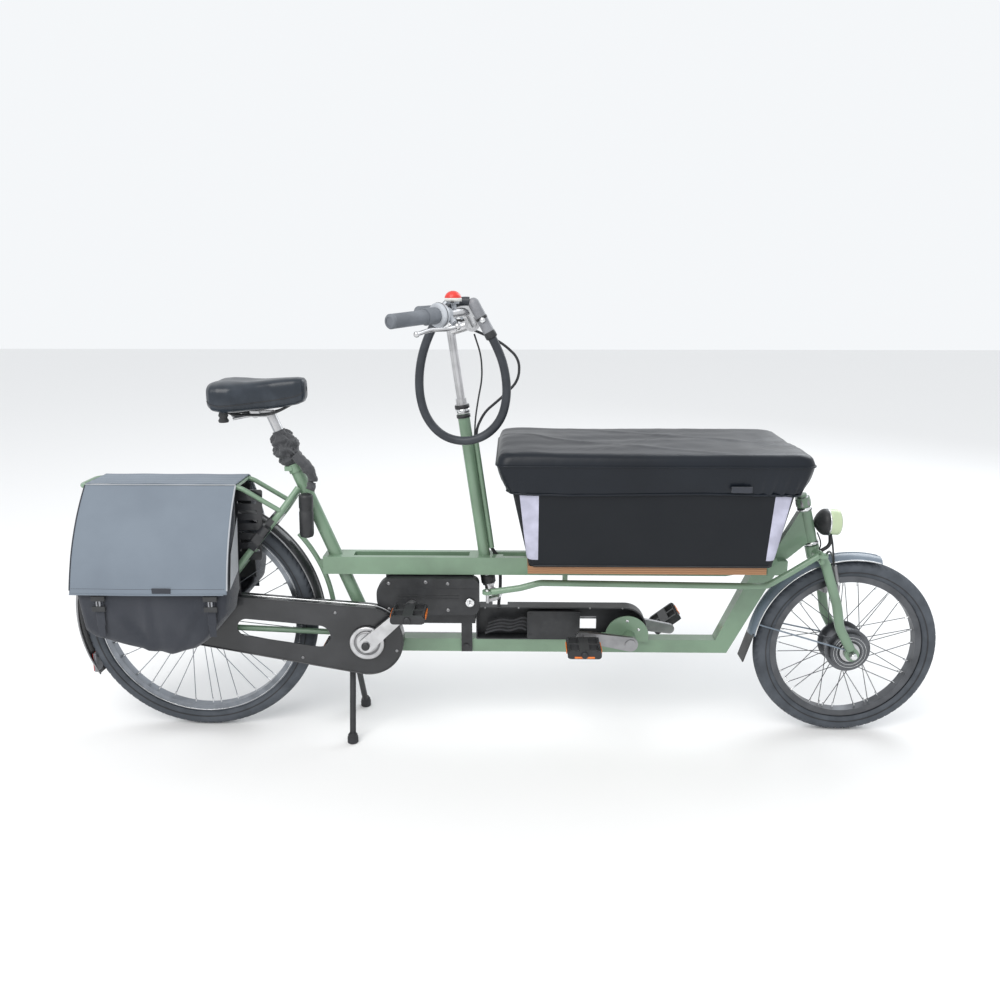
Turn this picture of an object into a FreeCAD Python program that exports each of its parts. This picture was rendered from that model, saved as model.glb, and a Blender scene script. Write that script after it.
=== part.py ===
import FreeCAD, Part
import math
import os

# A two-wheeled cargo bicycle: a long low steel frame with a cargo box ahead of the rider,
# a small steered front wheel worked by a side rod, two sets of cranks and double panniers.
# Working frame, millimetres: X forward with 0 at the rear axle, Y to the rider's left,
# Z up with 0 at the ground. save() moves each piece so that the origin is on the ground
# in the middle of the bicycle.

os.makedirs("parts", exist_ok=True)
V = FreeCAD.Vector

# ---- driving dimensions ----
WHEELBASE = 1805.0
REAR_R = 330.0
FRONT_R = 253.0
REAR_TYRE = 23.5          # half width of the tyre
FRONT_TYRE = 25.0
FENDER_R = 352.0          # outside of the rear mudguard, which is the rearmost point
ORIGIN_X = (WHEELBASE + FRONT_R - FENDER_R) / 2.0

RAIL_OUT = 34.0           # outer faces of the ladder rails
RAIL_IN = 17.0
RAIL_LOW = 467.0
RAIL_TOP = 516.0
RAIL_BACK = 358.0
RAIL_FRONT = 1590.0
BEAM_LOW = 236.0
BEAM_TOP = 274.0
BEAM_HALF = 20.0
BEAM_BACK = 455.0

CRANK_Z = 288.0           # height of both crank axles
REAR_CRANK_X = 480.0
FRONT_CRANK_X = 1197.0
SHELL_R = 19.0
SHELL_HALF = 36.0

SEAT_LEAN = 0.404         # run back for each mm of height
SEAT_TUBE_R = 17.5
SEAT_POST_R = 13.5
COLUMN_LEAN = math.radians(8.0)
COLUMN_X = 732.0          # column axis at COLUMN_Z
COLUMN_Z = 987.0
HEAD_LEAN = math.radians(15.0)
HEAD_X = 1684.0           # head axis at HEAD_Z
HEAD_Z = 571.0
STEER_ARM = 88.0          # side reach of the ball joint on the column
FIT = 0.06                # radial running fit

BOX_LOW = 536.0
BOX_TOP = 820.0
RACK_TOP = 722.0
RACK_HALF = 55.0


# ---- helpers ----
def save(name, shape):
    """Write one piece, with the origin moved to the middle of the bicycle."""
    piece = shape.copy()
    piece.translate(V(-ORIGIN_X, 0, 0))
    piece.exportStep("parts/%s.step" % name)
    print("%-22s solids %d valid %s volume %.0f" % (name, len(piece.Solids), piece.isValid(), piece.Volume))


def join(*shapes):
    """One shape out of several that touch."""
    return shapes[0].multiFuse(list(shapes[1:])).removeSplitter()


def group(*shapes):
    """Several separate solids in one node."""
    return Part.makeCompound(list(shapes))


def mirror(shape):
    """The same piece on the other side of the bicycle."""
    return shape.mirror(V(0, 0, 0), V(0, 1, 0))


def rod(start, end, radius):
    return Part.makeCylinder(radius, (end - start).Length, start, end - start)


def tube(start, end, radius, bore):
    return rod(start, end, radius).cut(rod(start, end, bore))


def block(x0, x1, y0, y1, z0, z1):
    return Part.makeBox(x1 - x0, y1 - y0, z1 - z0, V(x0, y0, z0))


def disc(x, z, y0, y1, radius, bore=0.0):
    """A disc or ring about an axis along Y."""
    solid = Part.makeCylinder(radius, y1 - y0, V(x, y0, z), V(0, 1, 0))
    if bore > 0:
        solid = solid.cut(Part.makeCylinder(bore, y1 - y0, V(x, y0, z), V(0, 1, 0)))
    return solid


def corner(before, point, after, radius):
    """Start, middle and end of the arc that rounds one corner."""
    back = (before - point).normalize()
    ahead = (after - point).normalize()
    half = back.getAngle(ahead) / 2.0
    inward = (back + ahead).normalize()
    reach = radius / math.tan(half)
    middle = point + inward * (radius / math.sin(half) - radius)
    return point + back * reach, middle, point + ahead * reach


def path(points, radii, closed=False):
    """Straight runs joined by tangent arcs."""
    count = len(points)
    if not isinstance(radii, (list, tuple)):
        radii = [radii] * count
    turns = []
    for i in range(count):
        sharp = radii[i] <= 0 or (not closed and i in (0, count - 1))
        if sharp:
            turns.append((points[i], None, points[i]))
        else:
            turns.append(corner(points[i - 1], points[i], points[(i + 1) % count], radii[i]))
    edges = []
    for i, (start, middle, end) in enumerate(turns):
        if middle is not None:
            edges.append(Part.Arc(start, middle, end).toShape())
        if i + 1 < count or closed:
            following = turns[(i + 1) % count][0]
            if end.distanceToPoint(following) > 1e-4:
                edges.append(Part.makeLine(end, following))
    return Part.Wire(edges)


def bar(points, radius, radii):
    """A round bar or tube along a path."""
    wire = path(points, radii)
    circle = Part.Wire([Part.makeCircle(radius, points[0], points[1] - points[0])])
    return wire.makePipeShell([circle], True, False)


def plate(outline, y0, y1, radii=0.0):
    """A flat piece with a side outline of (x, z) points, from y0 to y1."""
    points = [V(x, y0, z) for x, z in outline]
    face = Part.Face(path(points, radii, closed=True))
    return face.extrude(V(0, y1 - y0, 0))


def around(x, z, radius, degrees, y=0.0):
    """A point on a circle about an axle, counted up from straight ahead."""
    turn = math.radians(degrees)
    return V(x + radius * math.cos(turn), y, z + radius * math.sin(turn))


def on_column(z, y=0.0, ahead=0.0):
    return V(COLUMN_X + (COLUMN_Z - z) * math.tan(COLUMN_LEAN) + ahead, y, z)


def on_head(z, y=0.0, ahead=0.0):
    return V(HEAD_X + (HEAD_Z - z) * math.tan(HEAD_LEAN) + ahead, y, z)


def on_seat(z, y=0.0):
    return V(REAR_CRANK_X - (z - CRANK_Z) * SEAT_LEAN, y, z)


# ---- frame ----
def rails():
    side = [(RAIL_BACK, RAIL_LOW), (1455, RAIL_LOW), (RAIL_FRONT, 492), (RAIL_FRONT, RAIL_TOP), (RAIL_BACK, RAIL_TOP)]
    wall = 2.5
    left = plate(side, RAIL_IN, RAIL_OUT)
    left = left.cut(block(RAIL_BACK, 1450, RAIL_IN + wall, RAIL_OUT - wall, RAIL_LOW + wall, RAIL_TOP - wall))
    rear_plate = block(RAIL_BACK, 440, -RAIL_IN, RAIL_IN, RAIL_LOW, RAIL_TOP)
    middle_plate = block(757, 850, -RAIL_IN, RAIL_IN, RAIL_LOW, RAIL_TOP)
    nose = block(1567, 1620, -RAIL_OUT, RAIL_OUT, 470, 510)
    ladder = join(left, mirror(left), rear_plate, middle_plate, nose)
    ladder = ladder.fuse(block(1012, 1026, -RAIL_OUT, -RAIL_OUT + 5, 438, RAIL_LOW))
    ladder = ladder.cut(rod(on_seat(400), on_seat(600), SEAT_TUBE_R))
    ladder = ladder.cut(rod(on_column(400), on_column(600), 16))
    return ladder.cut(block(821, 850.1, -2, RAIL_IN, 460, 520))


def lower_beam(ladder):
    side = [(BEAM_BACK, BEAM_LOW), (1474, BEAM_LOW), (1597, 476), (1532, 476), (1441, BEAM_TOP), (BEAM_BACK, BEAM_TOP)]
    beam = plate(side, -BEAM_HALF, BEAM_HALF)
    wall = 2.5
    inner = BEAM_HALF - wall
    beam = beam.cut(block(BEAM_BACK, 1430, -inner, inner, BEAM_LOW + wall, BEAM_TOP - wall))
    mount = plate([(408, 205), (440, 205), (475, BEAM_LOW), (BEAM_BACK, 262), (408, BEAM_LOW)], -14, 14, [8, 8, 0, 0, 8])
    mount = mount.cut(disc(425, 220, -15, 15, 6 + FIT))
    return beam.fuse(mount).cut(ladder)


def crank_shells():
    rear = disc(REAR_CRANK_X, CRANK_Z, -SHELL_HALF, SHELL_HALF, SHELL_R)
    front = disc(FRONT_CRANK_X, CRANK_Z, -72, SHELL_HALF, SHELL_R)
    shield = disc(1193, 289, -34, -30, 60).common(block(1100, 1300, -40, 0, BEAM_TOP, 400))
    tab = block(1122, 1158, -34, -30, BEAM_TOP, 300)
    both = group(rear, join(front, shield, tab))
    both = both.cut(disc(REAR_CRANK_X, CRANK_Z, -80, 80, 8 + FIT))
    both = both.cut(disc(FRONT_CRANK_X, CRANK_Z, -80, 80, 8 + FIT))
    return both.cut(block(BEAM_BACK, 1441, -BEAM_HALF, BEAM_HALF, BEAM_LOW, BEAM_TOP))


def seat_tube(ladder):
    tube_solid = rod(on_seat(CRANK_Z), on_seat(770), SEAT_TUBE_R).cut(rod(on_seat(500), on_seat(780), SEAT_POST_R + FIT))
    clamp = rod(on_seat(748), on_seat(769), 21).cut(rod(on_seat(740), on_seat(780), SEAT_TUBE_R))
    lug = block(265, 285, -22, 22, 752, 764).cut(rod(on_seat(740), on_seat(780), SEAT_TUBE_R))
    whole = join(tube_solid, clamp, lug)
    whole = whole.cut(rod(on_seat(500), on_seat(780), SEAT_POST_R + FIT))
    return whole.cut(disc(REAR_CRANK_X, CRANK_Z, -60, 60, SHELL_R))


def steering_sleeve():
    bottom = on_column(RAIL_LOW - 3)
    top = on_column(905)
    sleeve = tube(bottom, top, 16, 12.7 + FIT)
    guide_low = on_column(535, ahead=23.0)
    guide_top = on_column(834, ahead=23.0)
    guide = tube(guide_low, guide_top, 7, 5.2)
    guide = guide.cut(rod(bottom, top, 16))
    return join(sleeve, guide)


def head_tube():
    barrel = rod(on_head(549), on_head(656), 17)
    gusset = plate([(1578, 510), (1624, 510), (1680, 560), (1652, 650)], -12, 12)
    foot = block(1578, 1620, -12, 12, 510, 513)
    whole = join(barrel, gusset, foot)
    low = on_head(549)
    axis = (on_head(656) - low).normalize()
    whole = whole.cut(Part.makeCylinder(30, 80, low - axis * 80, axis))
    return whole.cut(rod(on_head(500), on_head(700), 12.7 + FIT))


def chain_stays():
    left = bar([V(470, 30, 290), V(395, 36, 297), V(60, 60, 322), V(12, 61, 329)], 8, 90)
    dropout = plate([(-22, 312), (20, 306), (48, 318), (44, 352), (10, 366), (-22, 350)], 57, 63, 10)
    dropout = dropout.cut(disc(0, REAR_R, 50, 70, 5 + FIT))
    side = left.fuse(dropout)
    bridge = rod(V(378, -36, 298), V(378, 36, 298), 6)
    both = join(side, mirror(side), bridge)
    both = both.cut(disc(0, REAR_R, -70, 70, 5 + FIT))
    return both.cut(disc(REAR_CRANK_X, CRANK_Z, -SHELL_HALF, SHELL_HALF, SHELL_R))


STAY_POINTS = [V(300, 22, 706), V(246, 58, 632), V(120, 63, 478), V(26, 64, 362)]


def seat_stays(seat, lower):
    left = bar(STAY_POINTS, 9, [0, 60, 300, 0])
    brace = rod(V(281, -34, 680), V(281, 34, 680), 7)
    both = join(left, mirror(left), brace)
    return both.cut(seat).cut(lower)


def wheel_arch(lower, ladder):
    start = around(0, REAR_R, 377, -4)
    middle = around(0, REAR_R, 377, 17)
    end = around(0, REAR_R, 377, 40)
    wire = Part.Wire([Part.Arc(start, middle, end).toShape()])
    circle = Part.Wire([Part.makeCircle(7, start, V(0.07, 0, 1))])
    arch = wire.makePipeShell([circle], True, False)
    tab = block(344, RAIL_BACK, -6, 6, 478, 498)
    return join(arch, tab).cut(lower).cut(ladder)


def rear_rack(stays, lower):
    z = RACK_TOP - 6.5
    loop = [V(256, 55, 650), V(150, RACK_HALF, z), V(-276, RACK_HALF, z), V(-276, -RACK_HALF, z),
            V(150, -RACK_HALF, z), V(256, -55, 650)]
    frame = bar(loop, 6.5, [0, 60, 24, 24, 60, 0])
    spine = rod(V(-276, 0, z), V(140, 0, z), 5)
    bars = [rod(V(x, -RACK_HALF, z), V(x, RACK_HALF, z), 5) for x in (140, 0, -140)]
    leg = rod(V(-150, RACK_HALF, z), V(-14, 60, 352), 5)
    whole = join(frame, spine, leg, mirror(leg), *bars)
    return whole.cut(stays).cut(lower)


def mudguard(x, z, radius, drop, half, start, sweep):
    """A thin curved guard about an axle, from a start angle through a sweep."""
    edge = radius - drop
    skin = 2.2
    over = Part.Arc(V(edge, 0, half), V(radius, 0, 0), V(edge, 0, -half)).toShape()
    under = Part.Arc(V(edge - skin, 0, -half + 1.5), V(radius - skin, 0, 0), V(edge - skin, 0, half - 1.5)).toShape()
    first = Part.makeLine(V(edge, 0, -half), V(edge - skin, 0, -half + 1.5))
    last = Part.makeLine(V(edge - skin, 0, half - 1.5), V(edge, 0, half))
    shell = Part.Face(Part.Wire([over, first, under, last])).revolve(V(0, 0, 0), V(0, 0, 1), sweep)
    shell.rotate(V(0, 0, 0), V(1, 0, 0), 90)
    shell.rotate(V(0, 0, 0), V(0, 1, 0), -start)
    shell.translate(V(x, 0, z))
    return shell


def rear_fender():
    return mudguard(0, REAR_R, FENDER_R, 14, 31, 5, 205)


def coat_guard():
    sheet = plate([(136, 705), (208, 706), (195, 510), (121, 510)], -46, -43, 6)
    for row in range(6):
        low = 532 + 27 * row
        sheet = sheet.cut(plate([(138, low), (190, low), (192, low + 9), (140, low + 9)], -47, -42, 3))
    lugs = [rod(V(x, -43, z), V(x, -30.5, z), 4) for x, z in ((168, 626), (160, 520))]
    return join(sheet, *lugs)


def ring_lock(guard, stays, fender):
    """A horseshoe lock across the rear wheel, on the stays."""
    ring = Part.makeCylinder(80, 24, V(0, 0, -12)).cut(Part.makeCylinder(54, 26, V(0, 0, -13)))
    ring = ring.cut(Part.makeBox(90, 170, 30, V(-115, -85, -15)))
    barrel = rod(V(30, -84, 0), V(58, -84, 0), 13)
    key = Part.makeBox(26, 3, 14, V(56, -86, -7))
    body = join(ring, barrel, key)
    body.rotate(V(0, 0, 0), V(0, 1, 0), -51.5)
    body.translate(around(0, REAR_R, 306, 51.5))
    return body.cut(guard).cut(stays).cut(fender)


def lock_sleeve(seat):
    low = on_seat(777)
    high = on_seat(864)
    wrap = rod(low, high, 36)
    tail = bar([on_seat(800) + V(16, -18, 0), V(322, -24, 775), V(348, -26, 712)], 15, 30)
    whole = join(wrap, tail)
    bore = rod(on_seat(700), on_seat(880), SEAT_POST_R + 1.5)
    return whole.cut(bore).cut(seat)


def lock_cylinder():
    return rod(V(326, -52, 698), V(323, -52, 577), 19)


def link(ax, az, ar, bx, bz, br, y0, y1):
    """A flat piece whose outline wraps two circles."""
    a = V(ax, y0, az)
    b = V(bx, y0, bz)
    along = (b - a).normalize()
    side = V(-along.z, 0, along.x)
    lean = (ar - br) / (b - a).Length
    flat = math.sqrt(1 - lean * lean)
    upper = along * lean + side * flat
    lower = along * lean - side * flat
    edges = [
        Part.makeLine(a + upper * ar, b + upper * br),
        Part.Arc(b + upper * br, b + along * br, b + lower * br).toShape(),
        Part.makeLine(b + lower * br, a + lower * ar),
        Part.Arc(a + lower * ar, a - along * ar, a + upper * ar).toShape(),
    ]
    return Part.Face(Part.Wire(edges)).extrude(V(0, y1 - y0, 0))


# ---- drive ----
CASE_OUT = -80.0
CHAIN_Y = -47.5
CHAIN_RING = 74.0
HUB_SPROCKET = 34.0
TIMING_RING = 22.5
REAR_CRANK_LENGTH = 170.0
FRONT_CRANK_LENGTH = 135.0
REAR_CRANK_TURN = 42.0
FRONT_CRANK_TURN = 171.0


def chain_case(stays, rack):
    outer = link(REAR_CRANK_X, 290, 98, 10, 352, 74, CASE_OUT, -43)
    inner = link(REAR_CRANK_X, 290, 95, 10, 352, 71, CASE_OUT + 3, -42)
    window = link(150, 327, 25, 348, 303, 31, CASE_OUT - 1, -76)
    case = outer.cut(inner).cut(window)
    case = case.cut(disc(REAR_CRANK_X, CRANK_Z, -85, -75, 30))
    case = case.cut(rod(STAY_POINTS[1] + V(0, -116, 0), STAY_POINTS[3] + V(0, -128, 0), 11))
    return case.cut(rack)


def chains():
    drive = link(REAR_CRANK_X, CRANK_Z, CHAIN_RING + 7, 0, REAR_R, HUB_SPROCKET + 7, -50, -45)
    drive = drive.cut(link(REAR_CRANK_X, CRANK_Z, CHAIN_RING + 0.6, 0, REAR_R, HUB_SPROCKET + 0.6, -51, -44))
    timing = link(REAR_CRANK_X, CRANK_Z, TIMING_RING + 6.5, FRONT_CRANK_X, CRANK_Z, TIMING_RING + 6.5, 42, 47)
    hollow = link(REAR_CRANK_X, CRANK_Z, TIMING_RING + 0.6, FRONT_CRANK_X, CRANK_Z, TIMING_RING + 0.6, 41, 48)
    return group(drive, timing.cut(hollow))


def crank_set(x, length, degrees, arm_in, arm_thick, spindle):
    """Both arms, the axle between them and the two pedal spindles."""
    parts = [disc(x, CRANK_Z, -arm_in - 1, arm_in + 1, 8)]
    for side, turn in ((-1, degrees), (1, degrees + 180)):
        end = around(x, CRANK_Z, length, turn)
        near = arm_in if side > 0 else -arm_in - arm_thick
        parts.append(link(x, CRANK_Z, 20, end.x, end.z, 14, near, near + arm_thick))
        inner = V(end.x, side * (arm_in + 1), end.z)
        outer = V(end.x, side * (arm_in + arm_thick + spindle), end.z)
        parts.append(rod(inner, outer, 6))
    return parts


def rear_crank():
    parts = crank_set(REAR_CRANK_X, REAR_CRANK_LENGTH, REAR_CRANK_TURN, 95, 15, 98)
    parts.append(disc(REAR_CRANK_X, CRANK_Z, -95, -46, 18))
    parts.append(disc(REAR_CRANK_X, CRANK_Z, -89, -84, 47))
    parts.append(disc(REAR_CRANK_X, CRANK_Z, -115, -109, 11))
    parts.append(disc(REAR_CRANK_X, CRANK_Z, 43, 46, TIMING_RING))
    ring = disc(REAR_CRANK_X, CRANK_Z, -49, -46, CHAIN_RING)
    for i in range(5):
        hole = around(REAR_CRANK_X, CRANK_Z, 46, 72 * i)
        ring = ring.cut(disc(hole.x, hole.z, -50, -45, 19))
    return join(ring, *parts)


def front_crank():
    parts = crank_set(FRONT_CRANK_X, FRONT_CRANK_LENGTH, FRONT_CRANK_TURN, 76, 12, 120)
    parts.append(disc(FRONT_CRANK_X, CRANK_Z, 43, 46, TIMING_RING))
    parts.append(disc(FRONT_CRANK_X, CRANK_Z, -92, -87, 15))
    return join(*parts)


def pedal(x, length, degrees, side, y_in, tilt):
    """A platform with four open windows round a bored core."""
    end = around(x, CRANK_Z, length, degrees if side < 0 else degrees + 180)
    body = plate([(-44, -11), (44, -11), (44, 11), (-44, 11)], 0, 94, 9)
    for x0, x1 in ((-37, -13), (13, 37)):
        for y0, y1 in ((8, 43), (51, 86)):
            body = body.cut(block(x0, x1, y0, y1, -20, 20))
    body = body.cut(disc(0, 0, -1, 95, 6 + FIT))
    body.rotate(V(0, 0, 0), V(0, 1, 0), tilt)
    body.translate(V(end.x, y_in if side > 0 else -y_in - 94, end.z))
    return body


def rear_sprocket():
    return disc(0, REAR_R, -49, -46, HUB_SPROCKET, 16 + FIT)


# ---- wheels ----
def tyre(x, radius, half, rim_out):
    ring = Part.makeTorus(radius - half, half, V(x, 0, radius), V(0, 1, 0))
    return ring.cut(disc(x, radius, -60, 60, rim_out))


def rim_and_spokes(x, radius, rim_out, rim_in, rim_half, flange_r, flange_y, swing):
    rim = disc(x, radius, -rim_half, rim_half, rim_out, rim_in)
    rim = rim.cut(disc(x, radius, -rim_half + 3, rim_half - 3, rim_out + 1, rim_out - 6))
    spokes = []
    for i in range(36):
        side = 1 if i % 2 else -1
        lead = 1 if (i // 2) % 2 else -1
        turn = 10.0 * i
        near = around(x, radius, flange_r, turn, side * (flange_y + 1.6 * lead))
        far = around(x, radius, rim_in + 1.5, turn + swing * lead, side * 4.0)
        spokes.append(rod(near, far, 1.1))
    return rim.multiFuse(spokes)


def hub(x, z, half, barrel_r, flange_r, flange_y, bore):
    parts = [disc(x, z, -half, half, barrel_r)]
    for y in (-flange_y, flange_y):
        parts.append(disc(x, z, y - 3, y + 3, flange_r + 4))
    return join(*parts).cut(disc(x, z, -half - 1, half + 1, bore))


def axle(x, z, reach, radius, nut_in, nut_out):
    parts = [disc(x, z, -reach, reach, radius)]
    for y0, y1 in ((-nut_out, -nut_in), (nut_in, nut_out)):
        parts.append(disc(x, z, y0, y1, 10))
    return join(*parts)


# ---- boxes and cases on the frame ----
def battery_case():
    front = plate([(505, 358), (785, 358), (785, 462), (505, 462)], -55, -23, [46, 20, 20, 46])
    back = block(528, 768, -23, 40, 358, 464)
    cap = disc(760, 395, -58, -55, 12)
    whole = join(front, back, cap)
    return whole.cut(disc(REAR_CRANK_X, 290, -90, -40, 99))


def battery_bracket():
    shelf = block(590, 773, -26, 20, 322, 358)
    leg = block(734, 764, -26, -BEAM_HALF, 238, 330)
    bolt = disc(748, 255, -30, -26, 7)
    return join(shelf, leg, bolt)


def timing_case():
    corners = [4, 10, 58, 12]
    outer = plate([(775, BEAM_TOP), (1247, BEAM_TOP), (1247, 369), (775, 369)], -22, 20, corners)
    inner = plate([(778, BEAM_TOP + 3), (1244, BEAM_TOP + 3), (1244, 366), (778, 366)], -23, 17, corners)
    case = outer.cut(inner)
    case = case.cut(block(1062, 1112, 10, 30, 291, 328))
    case = case.cut(disc(FRONT_CRANK_X, CRANK_Z, -80, 40, SHELL_R))
    return case.cut(block(820, 862, -1, 22, 360, 380))


def controller_cover():
    cover = plate([(917, 277.5), (1063, 277.5), (1063, 358), (917, 358)], -25, -17, 5)
    screws = [disc(x, z, -27, -25, 4) for x in (926, 1054) for z in (287, 349)]
    return join(cover, *screws)


def kickstand():
    pin = disc(425, 220, -37, 37, 6)
    leg = bar([V(425, 29.5, 228), V(427, 31.5, 182), V(434, 108, 14)], 8.5, 40)
    foot = Part.makeCylinder(13, 24, V(434, 109, 0))
    return join(pin, leg, mirror(leg), foot, mirror(foot))


# ---- cargo box ----
def rounded_box(x0, x1, half, z, radius):
    """A closed level outline with rounded corners."""
    points = [V(x0, -half, z), V(x1, -half, z), V(x1, half, z), V(x0, half, z)]
    return path(points, radius, closed=True)


def tapered(low, high):
    return Part.makeLoft([low, high], True, True)


def box_skin(extra):
    """The outer shape of the box, grown sideways by extra."""
    low = rounded_box(918 - extra, 1540 + extra, 170 + extra, BOX_LOW, 20)
    high = rounded_box(856 - extra, 1598 + extra, 198 + extra, BOX_TOP, 26)
    return tapered(low, high)


def cargo_box():
    inner = tapered(rounded_box(922, 1536, 166, BOX_LOW + 4, 17), rounded_box(860, 1594, 194, BOX_TOP + 1, 22))
    return box_skin(0).cut(inner)


def corner_strips():
    """Reflective strips near the four ends of the long sides, 0.8 mm proud of the walls."""
    low, high = 556, 730
    front = plate([(1519, low), (1544, low), (1568, high), (1526, high)], -210, 210)
    rear = plate([(941, low), (912, low), (893, high), (941, high)], -210, 210)
    ends = front.fuse(rear).cut(block(800, 1700, -150, 150, 500, 800))
    return box_skin(0.8).cut(box_skin(0)).common(ends)


def cargo_cover():
    """A fitted cover: straight skirt, rolled edge and a slightly drawn-in top."""
    rim = rounded_box(838, 1615, 208, 812, 26)
    skirt = tapered(rounded_box(842, 1612, 204, 733, 26), rim)
    crown = tapered(rim, rounded_box(848, 1606, 199, 838, 24))
    inner_rim = rounded_box(842, 1611, 204, 812, 24)
    hollow = tapered(rounded_box(846, 1608, 200, 732, 24), inner_rim)
    hollow_top = tapered(inner_rim, rounded_box(847, 1607, 199, 832, 24))
    return join(skirt, crown).cut(hollow).cut(hollow_top)


def cargo_floor():
    return block(915, 1525, -165, 165, RAIL_TOP, BOX_LOW - 0.5)


# ---- panniers ----
BAG_SIDE = [(-254, 700), (143, 700), (143, 405), (60, 310), (-20, 285), (-254, 345)]
BAG_HOLLOW = [(-250, 705), (139, 705), (139, 407), (57, 315), (-20, 290), (-250, 349)]


def drape(offset):
    """The three (y, z) points of the gentle arc that a flap hangs in."""
    return V(0, 64 - offset, 722 - offset), V(0, 151 - offset, 604.6 - offset * 0.5), V(0, 203 - offset, 468)


def bag_shape(offset, inner, side, top_z, radii):
    """The bag's outline seen from behind, drawn along X and trimmed to a side outline."""
    start, middle, end = drape(offset)
    top = V(0, inner + 4, top_z)
    low = [end, V(0, end.y - 3, 400), V(0, end.y - 15, 270), V(0, inner, 270), V(0, inner, top_z), top]
    edges = [Part.Arc(top, middle, end).toShape()]
    for a, b in zip(low, low[1:]):
        edges.append(Part.makeLine(a, b))
    section = Part.Face(Part.Wire(edges)).extrude(V(420, 0, 0))
    section.translate(V(-260, 0, 0))
    return section.common(plate(side, 60, 210, radii))


def pannier_bag():
    """An open-topped bag with walls 4 mm thick and a stiff back board."""
    shell = bag_shape(12, 72, BAG_SIDE, 700, [0, 0, 30, 40, 40, 30])
    hollow = bag_shape(16, 86, BAG_HOLLOW, 704, [0, 0, 26, 36, 36, 26])
    return shell.cut(hollow)


def pannier_flap():
    outer = drape(0)
    inner = drape(3)
    edges = [Part.Arc(*outer).toShape(), Part.makeLine(outer[2], inner[2]),
             Part.Arc(*reversed(inner)).toShape(), Part.makeLine(inner[0], outer[0])]
    sheet = Part.Face(Part.Wire(edges)).extrude(V(400, 0, 0))
    sheet.translate(V(-256, 0, 0))
    return sheet


def pannier_strip():
    return block(-256, 144, -62, 62, RACK_TOP + 0.3, RACK_TOP + 3)


def pannier_buckles():
    parts = []
    for x in (-190, 100):
        parts.append(block(x - 12, x + 12, -196, -190.5, 405, 464))
        parts.append(block(x - 19, x + 19, -203, -196, 425, 452))
    return join(*parts[:2]).fuse(join(*parts[2:]))


# ---- seat ----
def seat_post():
    post = rod(on_seat(560), on_seat(906), SEAT_POST_R)
    clamp = rod(V(196, -22, 906), V(196, 22, 906), 12)
    link_bar = block(180, 236, -15, 15, 896, 912)
    lever = rod(V(130, 0, 889), V(232, 0, 908), 4)
    cut_top = block(100, 360, -50, 50, 912.5, 960)
    return join(post, clamp, link_bar, lever).cut(cut_top)


def saddle():
    side = [(88, 945), (92, 995), (170, 990), (324, 999), (331, 978), (322, 934), (230, 916), (112, 914)]
    body = plate(side, -105, 105, [14, 12, 60, 10, 12, 20, 40, 20])
    points = [V(85, -98, 800), V(130, -100, 800), V(240, -32, 800), V(335, -26, 800),
              V(335, 26, 800), V(240, 32, 800), V(130, 100, 800), V(85, 98, 800)]
    plan = Part.Face(path(points, [28, 50, 90, 22, 22, 90, 50, 28], closed=True)).extrude(V(0, 0, 300))
    return body.common(plan)


# ---- steering ----
ARM_Z = 416.0
BALL_Z = 437.0
FORK_BALL_Z = 544.0
FORK_ARM = STEER_ARM * math.cos(COLUMN_LEAN) / math.cos(HEAD_LEAN)
BALL = on_column(BALL_Z, -STEER_ARM)
FORK_BALL = on_head(FORK_BALL_Z, -FORK_ARM)
GRIP_END = V(600, -298, 1157)
BAR_KNEE = V(757, -106, 1172)
BAR_MID = V(770, -40, 1138)
ALONG_GRIP = (BAR_KNEE - GRIP_END).normalize()


def on_grip(distance):
    return GRIP_END + ALONG_GRIP * distance


def steering_column():
    shaft = rod(on_column(408), on_column(935), 12.7)
    top = rod(on_column(905.6), on_column(931), 17)
    low = rod(on_column(430), on_column(463), 17)
    stem = rod(on_column(930), on_column(1122), 11)
    wedge = rod(on_column(931), on_column(945), 14)
    reach = rod(on_column(1120), V(770, 0, 1138), 13)
    clamp = disc(770, 1138, -22, 22, 19)
    base = on_column(ARM_Z)
    knee = [base, base + V(30, -34, 0), base + V(22, -70, 0), V(BALL.x, BALL.y, ARM_Z)]
    arm = bar(knee, 8, [0, 16, 16, 0])
    stud = rod(V(BALL.x, BALL.y, ARM_Z - 9), BALL, 5)
    ball = Part.makeSphere(9, BALL)
    whole = join(shaft, top, low, stem, wedge, reach, clamp, arm, stud, ball)
    return whole.cut(disc(770, 1138, -30, 30, 11))


def handlebar():
    points = [GRIP_END, BAR_KNEE, BAR_MID]
    points += [V(p.x, -p.y, p.z) for p in reversed(points)]
    return bar(points, 11, [0, 40, 20, 20, 40, 0])


def grips():
    grip = rod(on_grip(-3), on_grip(106), 16).fuse(rod(on_grip(107), on_grip(146), 18.5))
    grip = grip.cut(rod(GRIP_END, BAR_KNEE, 11))
    return group(grip, mirror(grip))


def shifter_housings():
    ring = rod(on_grip(148), on_grip(168), 27)
    bracket = rod(on_grip(172), on_grip(190), 16)
    nose = rod(on_grip(181), on_grip(181) + LEVER_OUT * 34, 8)
    one = group(ring, bracket.fuse(nose))
    one = one.cut(rod(GRIP_END, BAR_KNEE, 11))
    return group(one, mirror(one))


LEVER_OUT = (V(ALONG_GRIP.y, -ALONG_GRIP.x, 0) * 0.8 + V(0, 0, -0.6)).normalize()
LEVER_PIVOT = on_grip(181) + LEVER_OUT * 46
LEVER_AXIS = ALONG_GRIP.cross(LEVER_OUT)


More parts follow.
